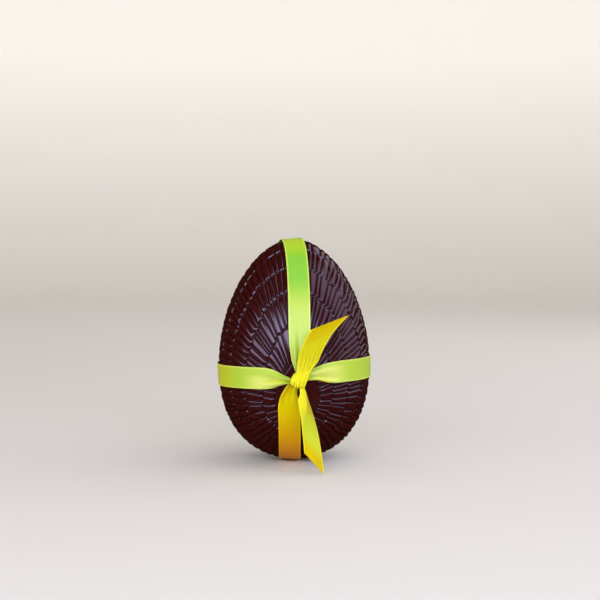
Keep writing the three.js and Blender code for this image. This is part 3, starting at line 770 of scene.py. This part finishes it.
def woven_satin(name, colours, tones, gathered, glints):
    """Polyester satin ribbon, woven with long floating warp threads: a lengthwise sheen that brightens in
    bands where the ribbon turns, fine lengthwise streaks, and a firm paler selvedge at both edges.
    Its tones, mostly painted light and shade, are for an attribute turned of 0, -1, 1
    and 2, and its painted sheen colour for pale of 1."""
    material, tree, shader = new_material(name)
    calculate, times, less, times_plus = arithmetic(tree)
    cloth = add_node(tree, "ShaderNodeUVMap", uv_map="cloth")
    lengthwise, crosswise, _ = add_node(tree, "ShaderNodeSeparateXYZ", cloth).node.outputs
    turned, pale = (
        add_node(tree, "ShaderNodeAttribute", output="Fac", attribute_name=name)
        for name in ("turned", "pale")
    )
    # Tones laid over the plain colour by the attribute; apart from the reverse peeking out at hems, they are
    # painted light and shade
    below, above = times(turned, -1.0, use_clamp=True), less(turned, 1.0, use_clamp=True)
    by_part = ([getattr(colours, tone + part) for tone in tones] for part in TONE_PARTS)
    colour, shade, selvedge = (
        laid_over(tree, plain, (below, minus_one), (turned, one), (above, two))
        for plain, minus_one, one, two in by_part
    )
    # The woven edge is 0.6 mm wide on a ribbon 10 mm wide
    off_centre = calculate(crosswise, operation="ABSOLUTE")
    edge = add_node(tree, "ShaderNodeMapRange", {"Value": off_centre, "From Min": 0.0042, "From Max": 0.0046})
    # Warp threads lie 0.1 mm apart, drawn at 0.3 mm so that they show, and weft picks faintly at 0.45 mm
    warp = calculate(times(crosswise, 2 * math.pi / 0.0003), operation="SINE")
    weft = calculate(times(lengthwise, 2 * math.pi / 0.00045), operation="SINE")
    # Streaks some 17 mm long and 0.4 mm wide, where a few threads lie looser
    stretched = add_node(tree, "ShaderNodeCombineXYZ", times(lengthwise, 60.0), times(crosswise, 2600.0))
    streak = add_node(tree, "ShaderNodeTexNoise", {"Vector": stretched, "Scale": 1.0})
    # Painted sheen, paler where the mask is set, left off the yellow and amber tones
    painted_sheen_amount = times(pale, less(1.0, turned, use_clamp=True))
    tone = laid_over(
        tree, colour, (times(streak, 0.6), shade), (painted_sheen_amount, gathered), (times(edge, 0.8), selvedge))
    threads = times_plus(edge, 2.0, times_plus(weft, 0.35, warp))
    weave = {"Height": threads, "Strength": 0.25, "Distance": 0.00003}
    plain_glint, turned_glint = map(from_hex, glints)
    set_inputs(tree, shader, {
        "Base Color": tone, "Roughness": times_plus(streak, 0.12, 0.44),
        "Normal": add_node(tree, "ShaderNodeBump", weave),
        "Tangent": add_node(tree, "ShaderNodeTangent", direction_type="UV_MAP", uv_map="cloth"),
        "IOR": 1.65, "Specular IOR Level": 1.0,
        "Specular Tint": laid_over(tree, plain_glint, (turned, turned_glint)),
        "Anisotropic": 0.6, "Anisotropic Rotation": 0.25, "Sheen Weight": 0.1, "Sheen Roughness": 0.4,
    })
    return material


def matt_paper(name, colour):
    """Seamless studio paper: matt and plain, and glowing of itself, as painted light, where it rises as a
    wall.
    """
    material, tree, shader = new_material(name)
    place = add_node(tree, "ShaderNodeTexCoord", output="Object")
    height = add_node(tree, "ShaderNodeSeparateXYZ", place, output="Z")
    tooth = add_node(tree, "ShaderNodeTexNoise", {"Vector": place, "Scale": 900.0})
    glow = {"Value": height, "From Min": 0.0, "From Max": WALL_GLOW_HEIGHT, "To Max": WALL_GLOW}
    set_inputs(tree, shader, {
        "Base Color": colour, "Roughness": 0.9, "Specular IOR Level": 0.1,
        "Normal": add_node(tree, "ShaderNodeBump", {"Height": tooth, "Strength": 0.05, "Distance": 0.0001}),
        "Emission Color": colour, "Emission Strength": add_node(tree, "ShaderNodeMapRange", glow),
    })
    return material


# --- Ribbon ---

def resampled(points, angles, step):
    """Even steps along a line of points, with the angle at each."""
    lengths = np.append(0, np.cumsum(np.linalg.norm(np.diff(points, axis=0), axis=-1)))
    count = int(round(lengths[-1] / step)) + 1
    wanted = np.linspace(0, lengths[-1], count)
    even = np.stack([np.interp(wanted, lengths, points[:, k]) for k in range(3)], axis=-1)
    return even, np.interp(wanted, lengths, angles), wanted


def softened(rows, reach):
    """Rows averaged with their neighbours, the ends kept in place."""
    kernel = np.bartlett(2 * reach + 3)[1:-1]
    kernel /= kernel.sum()
    padded = np.concatenate([
        2 * rows[0] - rows[1:reach + 1][::-1], rows, 2 * rows[-1] - rows[-reach - 1:-1][::-1],
    ])
    return np.stack([np.convolve(padded[:, k], kernel, "valid") for k in range(rows.shape[1])], axis=-1)


def pleat_shape(pleats, across):
    """Height of the pleats across a ribbon, for across from -1 to 1."""
    shape = np.zeros_like(across)
    for place, half_width, height in pleats:
        reach = np.clip(np.abs(across - place) / half_width, 0, 1)
        shape = np.maximum(shape, height * (1 - reach ** PLEAT_ROUNDNESS))
    return shape


def pleat_height(half_width, shape, across, cloth_width):
    """Height of pleats at which the cloth keeps its width although it takes up less room."""
    low, high = 0.0, PLEAT_HEIGHT_LIMIT
    for _ in range(PLEAT_BISECTIONS):
        middle = (low + high) / 2
        steps = np.hypot(np.diff(across) * half_width, np.diff(shape) * middle)
        low, high = (middle, high) if steps.sum() < cloth_width else (low, middle)
    return low if 2 * half_width < cloth_width - PLEAT_SLACK else 0.0


def upright_point(angle):
    """Point of the upright band's centre line: angle 0 at the knot, 90 on top."""
    start = np.array([along(UPRIGHT_COURSE, angle), 0, BAND_CENTRE_Z])
    direction = np.array([0, -math.cos(math.radians(angle)), math.sin(math.radians(angle))])
    point = start + direction * distance_to_shell(start, direction)
    return [point[0], point[1], max(point[2], EGG_REST_Z)]


def level_point(angle):
    """Point of the level band's centre line: angle 0 at the knot, 90 at +X."""
    z = along(LEVEL_COURSE, angle)
    radius = math.sqrt(squared_radius(z))
    turn = math.radians(angle)
    return [radius * math.sin(turn), -radius * math.cos(turn), z]


def band_surface(course, locate, gather, pleats_at_start, pleats_at_end, lift, ribbon):
    """Outer face of a band that lies on the egg: (rows, columns, 3), with cloth coordinates."""
    angles = np.linspace(course[0][0], course[-1][0], BAND_SAMPLES)
    dense = np.array([locate(angle) for angle in angles])
    points, angles, lengths = resampled(dense, angles, BAND_STEP)
    normals = egg_normal(points)
    normals[points[:, 2] <= EGG_REST_Z + 1e-6] = (0, 0, -1)
    points = softened(points, reach=3)
    normals = unit(softened(normals, reach=4))
    travel = unit(np.gradient(points, axis=0))
    sideways = unit(np.cross(travel, normals))
    across = np.linspace(-1, 1, STRIP_COLUMNS)
    shapes = [pleat_shape(pleats, across) for pleats in (pleats_at_start, pleats_at_end)]
    width, thickness = ribbon.width / MM, ribbon.thickness / MM
    rows = []
    for i, angle in enumerate(angles):
        half = along(gather, angle) * width / GATHER_WIDTH
        shape = shapes[0] if angle < 180 else shapes[1]
        height = pleat_height(half, shape, across, width)
        rise = lift(angle) + thickness + height * (shape - shape.min())
        rows.append(points[i] + sideways[i] * (half * across)[:, None] + normals[i] * rise[:, None])
    rows = np.array(rows)
    # Nothing reaches below the face that the egg stands on
    rows[..., 2] = np.maximum(rows[..., 2], 0)
    cloth = np.broadcast_arrays(lengths[:, None], across[None, :] * width / 2)
    return rows, np.stack(cloth, axis=-1), lengths[-1], np.broadcast_arrays(angles[:, None], across)


def curve_through(rows, count):
    """Smooth curve through rows, at even steps of its parameter, and its directions."""
    rows = np.array(rows)
    lengths = np.append(0, np.cumsum(np.linalg.norm(np.diff(rows, axis=0), axis=-1)))
    lengths /= lengths[-1]
    wanted = np.linspace(0, 1, count)
    places = np.stack([
        [along(list(zip(lengths, rows[:, k])), value) for value in wanted] for k in range(3)
    ], axis=-1)
    return places, unit(np.gradient(places, axis=0))


def crease_shape(crease, share, across):
    """Height across a tail of its lengthwise crease, which falls evenly to both edges."""
    shares, *columns = zip(*crease)
    place, height = (np.interp(share, shares, column) for column in columns)
    fall = np.where(across < place, (place - across) / (place + 1), (across - place) / (1 - place))
    return height * (1 - fall)


def tail_surface(left_edge, right_edge, crease, face, bow, ribbon):
    """Outer face of a tail between its two edges, pleated where they run close together."""
    left, left_travel = curve_through(left_edge, TAIL_ROWS)
    right, right_travel = curve_through(right_edge, TAIL_ROWS)
    across = np.linspace(-1, 1, STRIP_COLUMNS)
    shape = pleat_shape(TAIL_PLEATS, across)
    shape = shape - shape[0] + (shape[0] - shape[-1]) * (across + 1) / 2
    width = ribbon.width / MM
    rows = []
    for i in range(TAIL_ROWS):
        span = right[i] - left[i]
        travel = left_travel[i] + right_travel[i]
        facing = unit(np.cross(span, travel)) * face
        straight = np.linalg.norm(span - unit(travel) * np.dot(span, unit(travel)))
        height = pleat_height(straight / 2, shape, across, width)
        share = i / (TAIL_ROWS - 1)
        arch = bow * math.sin(math.pi * min(1, share * BOW_REACH)) * (1 - across ** 2)
        fade = 1 - smooth_step(*PLEAT_FADE, share)
        folds = crease_shape(crease, share, across) if crease else height * fade * shape
        rise = folds + arch
        rows.append(left[i] + span * ((across + 1) / 2)[:, None] + facing * rise[:, None])
    rows = np.array(rows)
    steps = np.linalg.norm(np.diff(rows, axis=0), axis=-1)
    lengthwise = np.concatenate([np.zeros((1, STRIP_COLUMNS)), np.cumsum(steps, axis=0)])
    crosswise = np.broadcast_to(across * width / 2, lengthwise.shape)
    return rows, np.stack([lengthwise, crosswise], axis=-1), lengthwise[-1]


def cloth_piece(name, rows, cloth, material, ribbon, flip=False, **tones):
    """A strip of ribbon as a finished object: a grid of points with its cloth coordinates as a UV map, its
    tones as attributes and its thickness on its inner side."""
    shape = rows.shape[:2]
    index = np.arange(shape[0] * shape[1]).reshape(shape)
    corners = [index[:-1, :-1], index[:-1, 1:], index[1:, 1:], index[1:, :-1]]
    if flip:
        corners.reverse()
    faces = np.stack(corners, axis=-1).reshape(-1, 4)
    mesh = new_mesh(name, rows.reshape(-1, 3) * MM, faces)
    lay_cloth(mesh, (cloth.reshape(-1, 2) * MM)[faces.ravel()])
    for key, value in tones.items():
        store(mesh, key, np.broadcast_to(value, shape))
    made = linked(name, mesh, material)
    thick = made.modifiers.new("Thickness", "SOLIDIFY")
    thick.thickness = ribbon.thickness
    thick.offset = -1
    return made


def knot_mesh(name):
    """A lump wrapped in slanting folds, wider at its top."""
    centre = np.array(KNOT_CENTRE)
    cosine, sine = math.cos(KNOT_TURN), math.sin(KNOT_TURN)
    turn = np.array([[cosine, 0, sine], [0, 1, 0], [-sine, 0, cosine]])
    height = np.linspace(0, math.pi, KNOT_HEIGHT_STEPS)[1:-1, None]
    around = (np.arange(KNOT_ROUND_STEPS) * 2 * math.pi / KNOT_ROUND_STEPS)[None, :]
    slant = KNOT_FOLD_TWIST * height + KNOT_FOLD_BEND * np.sin(3 * height)
    crease = np.abs(np.sin(KNOT_FOLDS / 2 * around + slant))
    fold = 1 + KNOT_FOLD_DEPTH * (crease ** KNOT_FOLD_SHARPNESS - KNOT_FOLD_SHARPNESS) * np.sin(height)
    widening = 1 + KNOT_WIDENING * np.cos(height)
    direction = np.stack([
        np.sin(height) * np.cos(around) * widening * fold,
        np.sin(height) * np.sin(around) * fold,
        np.cos(height) * fold,
    ], axis=-1)
    points = (direction * np.array(KNOT_HALF_SIZE)) @ turn.T + centre
    loops, columns = points.shape[:2]
    index = np.arange(loops * columns).reshape(loops, columns)
    following = np.roll(index, -1, 1)
    quads = np.stack([index[:-1], index[1:], following[1:], following[:-1]], axis=-1).reshape(-1, 4).tolist()
    top, bottom = loops * columns, loops * columns + 1
    caps = [(top, index[0, k], following[0, k]) for k in range(columns)]
    caps += [(bottom, following[-1, k], index[-1, k]) for k in range(columns)]
    poles = [centre + turn @ np.array([0, 0, side * KNOT_HALF_SIZE[2]]) for side in (1, -1)]
    points = np.concatenate([points.reshape(-1, 3), poles]) * MM
    mesh = new_mesh(name, points, [*quads, *caps])
    places = points[[loop.vertex_index for loop in mesh.loops]]
    lay_cloth(mesh, np.stack([places[:, 2], places[:, 0] * KNOT_CLOTH_TIGHTNESS], axis=-1))
    return mesh


# --- Tones of the ribbon, by angle round the egg or share of a tail, and by place across from -1 to 1 ---

def between(limits, value):
    """Rises from 0 to 1 between the first two limits, and falls again between the last two."""
    return smooth_step(*limits[:2], value) - smooth_step(*limits[2:], value)


def line_along(across, centre, width):
    """Soft line along the ribbon."""
    return np.exp(-((across - centre) / width) ** 2)


def upright_tone(angle, across):
    """Painted shade, darker and greener, over the top, and painted warm light, yellow on the lower run and
    amber at its low end.
    """
    tone = smooth_step(*PAINTED_WARM_ANGLES, angle) * (2 - smooth_step(*DEEP_ANGLES, angle))
    # Shaded line beside the hem that is folded over below the knot
    hem = line_along(across, HEM_LINE_SLOPE * (angle - HEM_LINE_ANGLES[2]), HEM_LINE_WIDTH)
    hem = hem * HEM_LINE_TONE * smooth_step(*HEM_LINE_ANGLES[:2], angle)
    return tone - between(FRESH_ANGLES, angle) + hem


def level_tone(angle, across):
    """The other face peeks out at the lower hem right of the knot, and in a crease left of it; the left end
    is painted yellower as warm light.
    """
    hem = smooth_step(*RIGHT_HEM_PLACES, across) * (1 - smooth_step(*RIGHT_HEM_ANGLES, angle))
    crease = line_along(across, LEFT_CREASE_PLACE, LEFT_CREASE_WIDTH)
    crease = crease * smooth_step(*LEFT_CREASE_ANGLES, angle)
    return hem + LEFT_END_TONE * between(LEFT_END_ANGLES, angle) + crease


def painted_sheen_at(angle, across):
    """Painted sheen: the level band is painted paler beside the knot, where it is gathered and catches the
    light.
    """
    return sum(
        amount * between(angles, angle) * smooth_step(*places, across)
        for angles, places, amount in PAINTED_SHEEN_PARTS
    )


def tail_up_tone(share, across):
    """Painted lemon highlight out of the knot, and painted golden shade and warm light towards the end."""
    lemon_end, gold_rise = TAIL_UP_SHARES
    return smooth_step(*lemon_end, share) - 1 + smooth_step(*gold_rise, share)


def tail_down_tone(share, across):
    """Painted lemon highlight left of the crease and painted golden shade right of it, then plain, and
    painted golden shade and warm light towards the end.
    """
    crease_start, crease_end, gold_rise = TAIL_DOWN_SHARES
    shares, places, _ = zip(*TAIL_DOWN_CREASE)
    right = smooth_step(*CREASE_SIDES, across - np.interp(share, shares, places))
    right = right * smooth_step(*crease_start, share)
    lemon, gold = CREASE_TONES
    tone = (lemon + (gold - lemon) * right) * (1 - smooth_step(*crease_end, share))
    return tone + smooth_step(*gold_rise, share)


# --- Settings ---

def in_mm(name, description, millimetres):
    """A length property whose default is given in millimetres."""
    return FloatProperty(
        name=name, description=description, default=millimetres * MM, unit="LENGTH", precision=5)


def in_watts(name, description, watts):
    """A property for the power of a light."""
    return FloatProperty(name=name, description=description, default=watts, unit="POWER")


def hex_colour(name, description, text):
    """A colour property whose default is given as six hexadecimal digits."""
    return FloatVectorProperty(
        name=name, description=description, subtype="COLOR", size=4, min=0, max=1, default=from_hex(text))


class EggSettings(PropertyGroup):
    relief_depth: in_mm("Relief depth", "Depth of the grooves between the blocks", 0.85)
    groove_floor: in_mm("Groove floor", "Half the width of a groove's flat floor", 0.08)
    side_shoulder: in_mm("Side shoulder", "Width of the quarter round at a block's sides", 0.5)
    end_shoulder: in_mm("End shoulder", "Width of the quarter round at a block's ends", 0.85)
    crown: in_mm("Crown", "Drop of a block's top from its middle to its sides", 0.34)
    height_spread: in_mm("Height spread", "Largest difference in height between blocks", 0.14)
    tilt: in_mm("Tilt", "Largest sideways tilt of a block, measured at its side", 0.1)
    wave: in_mm("Wave", "Height of the slow unevenness of the blocks' tops", 0.16)
    wave_size: in_mm("Wave size", "Distance between crests of the slow unevenness", 4.5)
    seed: IntProperty(name="Seed", description="Chooses the blocks' uneven heights", default=7)


class RibbonSettings(PropertyGroup):
    width: in_mm("Width", "Width of the ribbon as woven", 10)
    thickness: in_mm("Thickness", "Thickness of the ribbon", 0.22)
    lift: in_mm("Lift", "Air between the ribbon and the egg's highest blocks", 0.08)


class ColourSettings(PropertyGroup):
    chocolate: hex_colour("Chocolate", "Dark chocolate", "340a08")
    chocolate_light: hex_colour("Chocolate, paler", "Cloudy paler parts of the chocolate", "3c1110")
    # Painted shade in the grooves
    chocolate_groove: hex_colour("Chocolate, grooves", "Chocolate down in the grooves", "1c0302")
    # Painted sheen: the face paler beside the knot, where it catches the light
    gathered: hex_colour("Gathered", "Paler face where it is gathered beside the knot", "e0ea66")
    shining: hex_colour("Shining", "Reverse where the lower tail catches the light", "bcd834")
    paper: hex_colour("Paper", "Studio floor", "e2dfda")


# Each tone of the ribbon is its colour, the deeper colour of its streaks and that of its selvedge
TONE_PARTS = {"": "", "_shade": ", streaks", "_edge": ", selvedge"}
for key, description, *texts in (
    ("satin", "Face of the satin ribbon", "b6d818", "a8cc10", "d6ea5a"),
    # Painted shade: the face darker and greener over the egg's top, where less light falls
    ("fresh", "Greener stretch of the face over the egg's top", "80cc20", "72c01a", "d6ea5a"),
    # Partly the reverse peeking out at the level band's hems, partly painted warm light on the upright band's
    # lower run
    ("turned", "Yellow side of the upright band's lower run", "dcd402", "d0c202", "f0dc18"),
    # Painted warm light and shade: amber at the low end of the lower run
    ("deep", "Amber low end of the lower run", "ec9a00", "de8a00", "f4b404"),
    ("reverse", "Reverse of the satin ribbon", "ceca02", "c4b802", "ece020"),
    # Painted highlight: a brighter reverse in the knot and at the tails' roots, where it catches the light
    ("lemon", "Reverse where it is gathered in the knot", "f6f22a", "ece414", "f6f22a"),
    # Painted warm light and shade: golden towards the tails' ends and on the lower tail's shaded facet
    ("gold", "Reverse towards the tails' ends", "cab202", "c0a802", "ece020"),
):
    for (part, ending), text in zip(TONE_PARTS.items(), texts):
        shown_name = key.capitalize() + ending
        ColourSettings.__annotations__[key + part] = hex_colour(shown_name, description, text)


class StudioSettings(PropertyGroup):
    key_power: in_watts("Key light", "Strength of the wide softbox above the front", 7.3)
    top_power: in_watts("Top light", "Strength of the light above, on the right", 0.9)
    side_power: in_watts("Side light", "Strength of the softbox on the right", 3.8)
    fill_power: in_watts("Fill light", "Strength of the weak light from the left", 2.4)
    back_power: in_watts("Back light", "Strength of the softbox behind", 0.7)
    backdrop_power: in_watts("Backdrop light", "Strength of the light on the paper behind", 17.0)
    world_strength: FloatProperty(
        name="Surroundings", description="Strength of the even light from all round", default=0.06, min=0)
    sweep_radius: in_mm("Sweep radius", "Flat part of the studio floor", 1600)


# --- Studio ---

def heading(azimuth, elevation):
    """Direction at an azimuth from straight ahead, growing to the right, and an elevation in degrees."""
    turn, rise = math.radians(azimuth), math.radians(elevation)
    return Vector((math.sin(turn) * math.cos(rise), math.cos(turn) * math.cos(rise), math.sin(rise)))


def aimed(name, data, place, sight):
    """Object for a light or camera at a place, with its line of sight."""
    made = bpy.data.objects.new(name, data)
    made.location = place
    made.rotation_euler = sight.to_track_quat("-Z", "Y").to_euler()
    bpy.context.collection.objects.link(made)
    return made


def softbox(name, place, sight, size, power, colour="ffffff"):
    """Rectangular area light."""
    light = bpy.data.lights.new(name, "AREA")
    light.shape, light.energy = "RECTANGLE", power
    light.size, light.size_y = size
    light.color = from_hex(colour)[:3]
    return aimed(name, light, place, sight)


def sweep_mesh(name, radius):
    """Round studio floor whose rim curves up into a wall."""
    bend, wall, segments, bend_steps = 0.9, 2.2, 96, 16
    turns = np.linspace(0, math.pi / 2, bend_steps + 1)
    profile = [(radius * share, 0.0) for share in (0.05, 0.2, 0.5, 1.0)]
    profile += [(radius + bend * math.sin(t), bend * (1 - math.cos(t))) for t in turns[1:]]
    profile.append((radius + bend, wall))
    angles = np.arange(segments) * 2 * math.pi / segments
    points = [(r * math.cos(a), r * math.sin(a), z) for r, z in profile for a in angles] + [(0, 0, 0)]
    faces = []
    for ring in range(len(profile) - 1):
        for k in range(segments):
            a, b = ring * segments + k, ring * segments + (k + 1) % segments
            faces.append((a, a + segments, b + segments, b))
    faces += [(len(points) - 1, k, (k + 1) % segments) for k in range(segments)]
    return new_mesh(name, points, faces)


# --- Operators ---

def dressed(piece, node):
    """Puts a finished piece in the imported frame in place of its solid."""
    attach(piece, "root")
    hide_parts(node)
    return piece


class EGG_OT_make_chocolate(Operator):
    """Makes the moulded chocolate egg"""

    bl_idname = "egg.make_chocolate"
    bl_label = "Chocolate egg"

    def execute(self, context):
        sizes, colours = context.scene.egg_settings, context.scene.egg_colours
        values = {"Rest height": EGG_REST_Z * MM, "Chocolate": moulded_dark_chocolate(colours)}
        for key in EggSettings.__annotations__:
            values[key.replace("_", " ").capitalize()] = getattr(sizes, key)
        egg = modelled("chocolate_egg", egg_base_mesh(), relief_tree(values), values)
        dressed(egg, "egg")
        return {"FINISHED"}


class EGG_OT_make_bands(Operator):
    """Makes the two satin bands that cross on the egg"""

    bl_idname = "egg.make_bands"
    bl_label = "Ribbon bands"

    def execute(self, context):
        ribbon, colours = context.scene.ribbon_settings, context.scene.egg_colours
        tones = ("satin", "fresh", "turned", "deep")
        satin = woven_satin("polyester_satin_face", colours, tones, colours.gathered, FACE_GLINTS)
        lift, flat_width = ribbon.lift / MM, round(ribbon.width, 6)

        def climb(angle):
            return lift + KNOT_CLIMB * (1 - smooth_step(0, KNOT_CLIMB_ANGLE, min(angle, 360 - angle)))

        def cross(angle):
            crossing = 1 - smooth_step(CROSSING_FLAT_ANGLE, CROSSING_RAMP_ANGLE, abs(angle - 180))
            return climb(angle) + CROSSING_LIFT * crossing

        bands = (
            ("satin_upright_band", "ribbon_upright_band", UPRIGHT_COURSE, upright_point, UPRIGHT_GATHER,
             UPPER_ARM_PLEATS, LOWER_ARM_PLEATS, climb, upright_tone),
            ("satin_level_band", "ribbon_level_band", LEVEL_COURSE, level_point, LEVEL_GATHER,
             RIGHT_ARM_PLEATS, LEFT_ARM_PLEATS, cross, level_tone),
        )
        for name, node, course, locate, gather, first, second, rise, tone in bands:
            rows, cloth, length, places = band_surface(course, locate, gather, first, second, rise, ribbon)
            # Painted sheen beside the knot, on the level band alone
            pale = painted_sheen_at(*places) if course is LEVEL_COURSE else 0
            piece = cloth_piece(name, rows, cloth, satin, ribbon, turned=tone(*places), pale=pale)
            band = dressed(piece, node)
        return {"FINISHED"}


class EGG_OT_make_knot(Operator):
    """Makes the folded knot at the front"""

    bl_idname = "egg.make_knot"
    bl_label = "Ribbon knot"

    def execute(self, context):
        colours = context.scene.egg_colours
        tones = ("reverse", "lemon", "gold", "gold")
        reverse = woven_satin("polyester_satin_reverse", colours, tones, colours.shining, REVERSE_GLINTS)
        mesh = knot_mesh("satin_knot")
        # The whole knot is painted in the brighter lemon tone, a painted highlight
        store(mesh, "turned", np.full(len(mesh.vertices), KNOT_TONE))
        dressed(linked("satin_knot", mesh, reverse), "ribbon_knot")
        return {"FINISHED"}


class EGG_OT_make_tails(Operator):
    """Makes the two loose tails of the knot"""

    bl_idname = "egg.make_tails"
    bl_label = "Ribbon tails"

    def execute(self, context):
        ribbon = context.scene.ribbon_settings
        reverse = bpy.data.materials["polyester_satin_reverse"]
        share, across = np.linspace(0, 1, TAIL_ROWS)[:, None], np.linspace(-1, 1, STRIP_COLUMNS)
        tails = (
            ("satin_tail_up", "ribbon_tail_up", TAIL_UP_LEFT, TAIL_UP_RIGHT, (), 1, TAIL_UP_BOW,
             False, tail_up_tone, 0),
            # The lower tail is painted paler where it catches the light, a painted highlight
            ("satin_tail_down", "ribbon_tail_down", TAIL_DOWN_LEFT, TAIL_DOWN_RIGHT, TAIL_DOWN_CREASE, -1,
             TAIL_DOWN_BOW, True, tail_down_tone, SHINE * between(SHINING_SHARES, share)),
        )
        for name, node, left, right, crease, face, bow, flip, tone, pale in tails:
            rows, cloth, lengths = tail_surface(left, right, crease, face, bow, ribbon)
            turned = tone(share, across)
            piece = cloth_piece(name, rows, cloth, reverse, ribbon, flip, turned=turned, pale=pale)
            tail = dressed(piece, node)
        return {"FINISHED"}


class EGG_OT_make_studio(Operator):
    """Makes the studio floor, its lights and the camera"""

    bl_idname = "egg.make_studio"
    bl_label = "Studio"

    def execute(self, context):
        scene, studio = context.scene, context.scene.studio_settings
        paper = matt_paper("seamless_paper", scene.egg_colours.paper)
        sweep = linked("studio_sweep", sweep_mesh("studio_sweep", studio.sweep_radius), paper)
        # The glossy chocolate reflects the softboxes alone, as it does beside a flagged floor
        sweep.visible_glossy = False
        for name, (azimuth, elevation, distance, size, colour) in LIGHTS.items():
            sight = -distance * heading(180 - azimuth, elevation)
            power = getattr(studio, name + "_power")
            softbox(name + "_light", LIGHTS_AIM - sight, sight, size, power, colour)
        backdrop = softbox(
            "backdrop_light", BACKDROP_PLACE, BACKDROP_SIGHT, BACKDROP_SIZE, studio.backdrop_power)
        backdrop.visible_glossy = False
        scene.world = bpy.data.worlds.new("studio_air")
        scene.world.use_nodes = True
        tree = scene.world.node_tree
        set_inputs(tree, tree.nodes["Background"], {
            "Color": from_hex(AIR_COLOUR), "Strength": studio.world_strength,
        })
        scene.view_settings.view_transform = "Standard"
        lens = bpy.data.cameras.new("camera")
        lens.lens = CAMERA_LENS
        scene.camera = aimed("camera", lens, CAMERA_PLACE, heading(CAMERA_YAW, CAMERA_PITCH))
        return {"FINISHED"}


class EGG_PT_panel(Panel):
    """Lists what can be made"""

    bl_label = "Chocolate Egg"
    bl_idname = "EGG_PT_panel"
    bl_space_type = "VIEW_3D"
    bl_region_type = "UI"
    bl_category = "Egg"

    def draw(self, context):
        for operator in OPERATORS:
            self.layout.operator(operator.bl_idname)
        for name, group in SETTINGS.items():
            box = self.layout.box()
            for key in group.__annotations__:
                box.prop(getattr(context.scene, name), key)


OPERATORS = (
    EGG_OT_make_chocolate, EGG_OT_make_bands, EGG_OT_make_knot, EGG_OT_make_tails, EGG_OT_make_studio,
)
SETTINGS = {
    "egg_settings": EggSettings,
    "ribbon_settings": RibbonSettings,
    "egg_colours": ColourSettings,
    "studio_settings": StudioSettings,
}


def register():
    for cls in (*SETTINGS.values(), *OPERATORS, EGG_PT_panel):
        bpy.utils.register_class(cls)
    for name, group in SETTINGS.items():
        setattr(bpy.types.Scene, name, PointerProperty(type=group))


def unregister():
    for name in SETTINGS:
        delattr(bpy.types.Scene, name)
    for cls in reversed((*SETTINGS.values(), *OPERATORS, EGG_PT_panel)):
        bpy.utils.unregister_class(cls)


def main():
    register()
    bpy.ops.egg.make_chocolate()
    bpy.ops.egg.make_bands()
    bpy.ops.egg.make_knot()
    bpy.ops.egg.make_tails()
    bpy.ops.egg.make_studio()


if __name__ == "__main__":
    main()
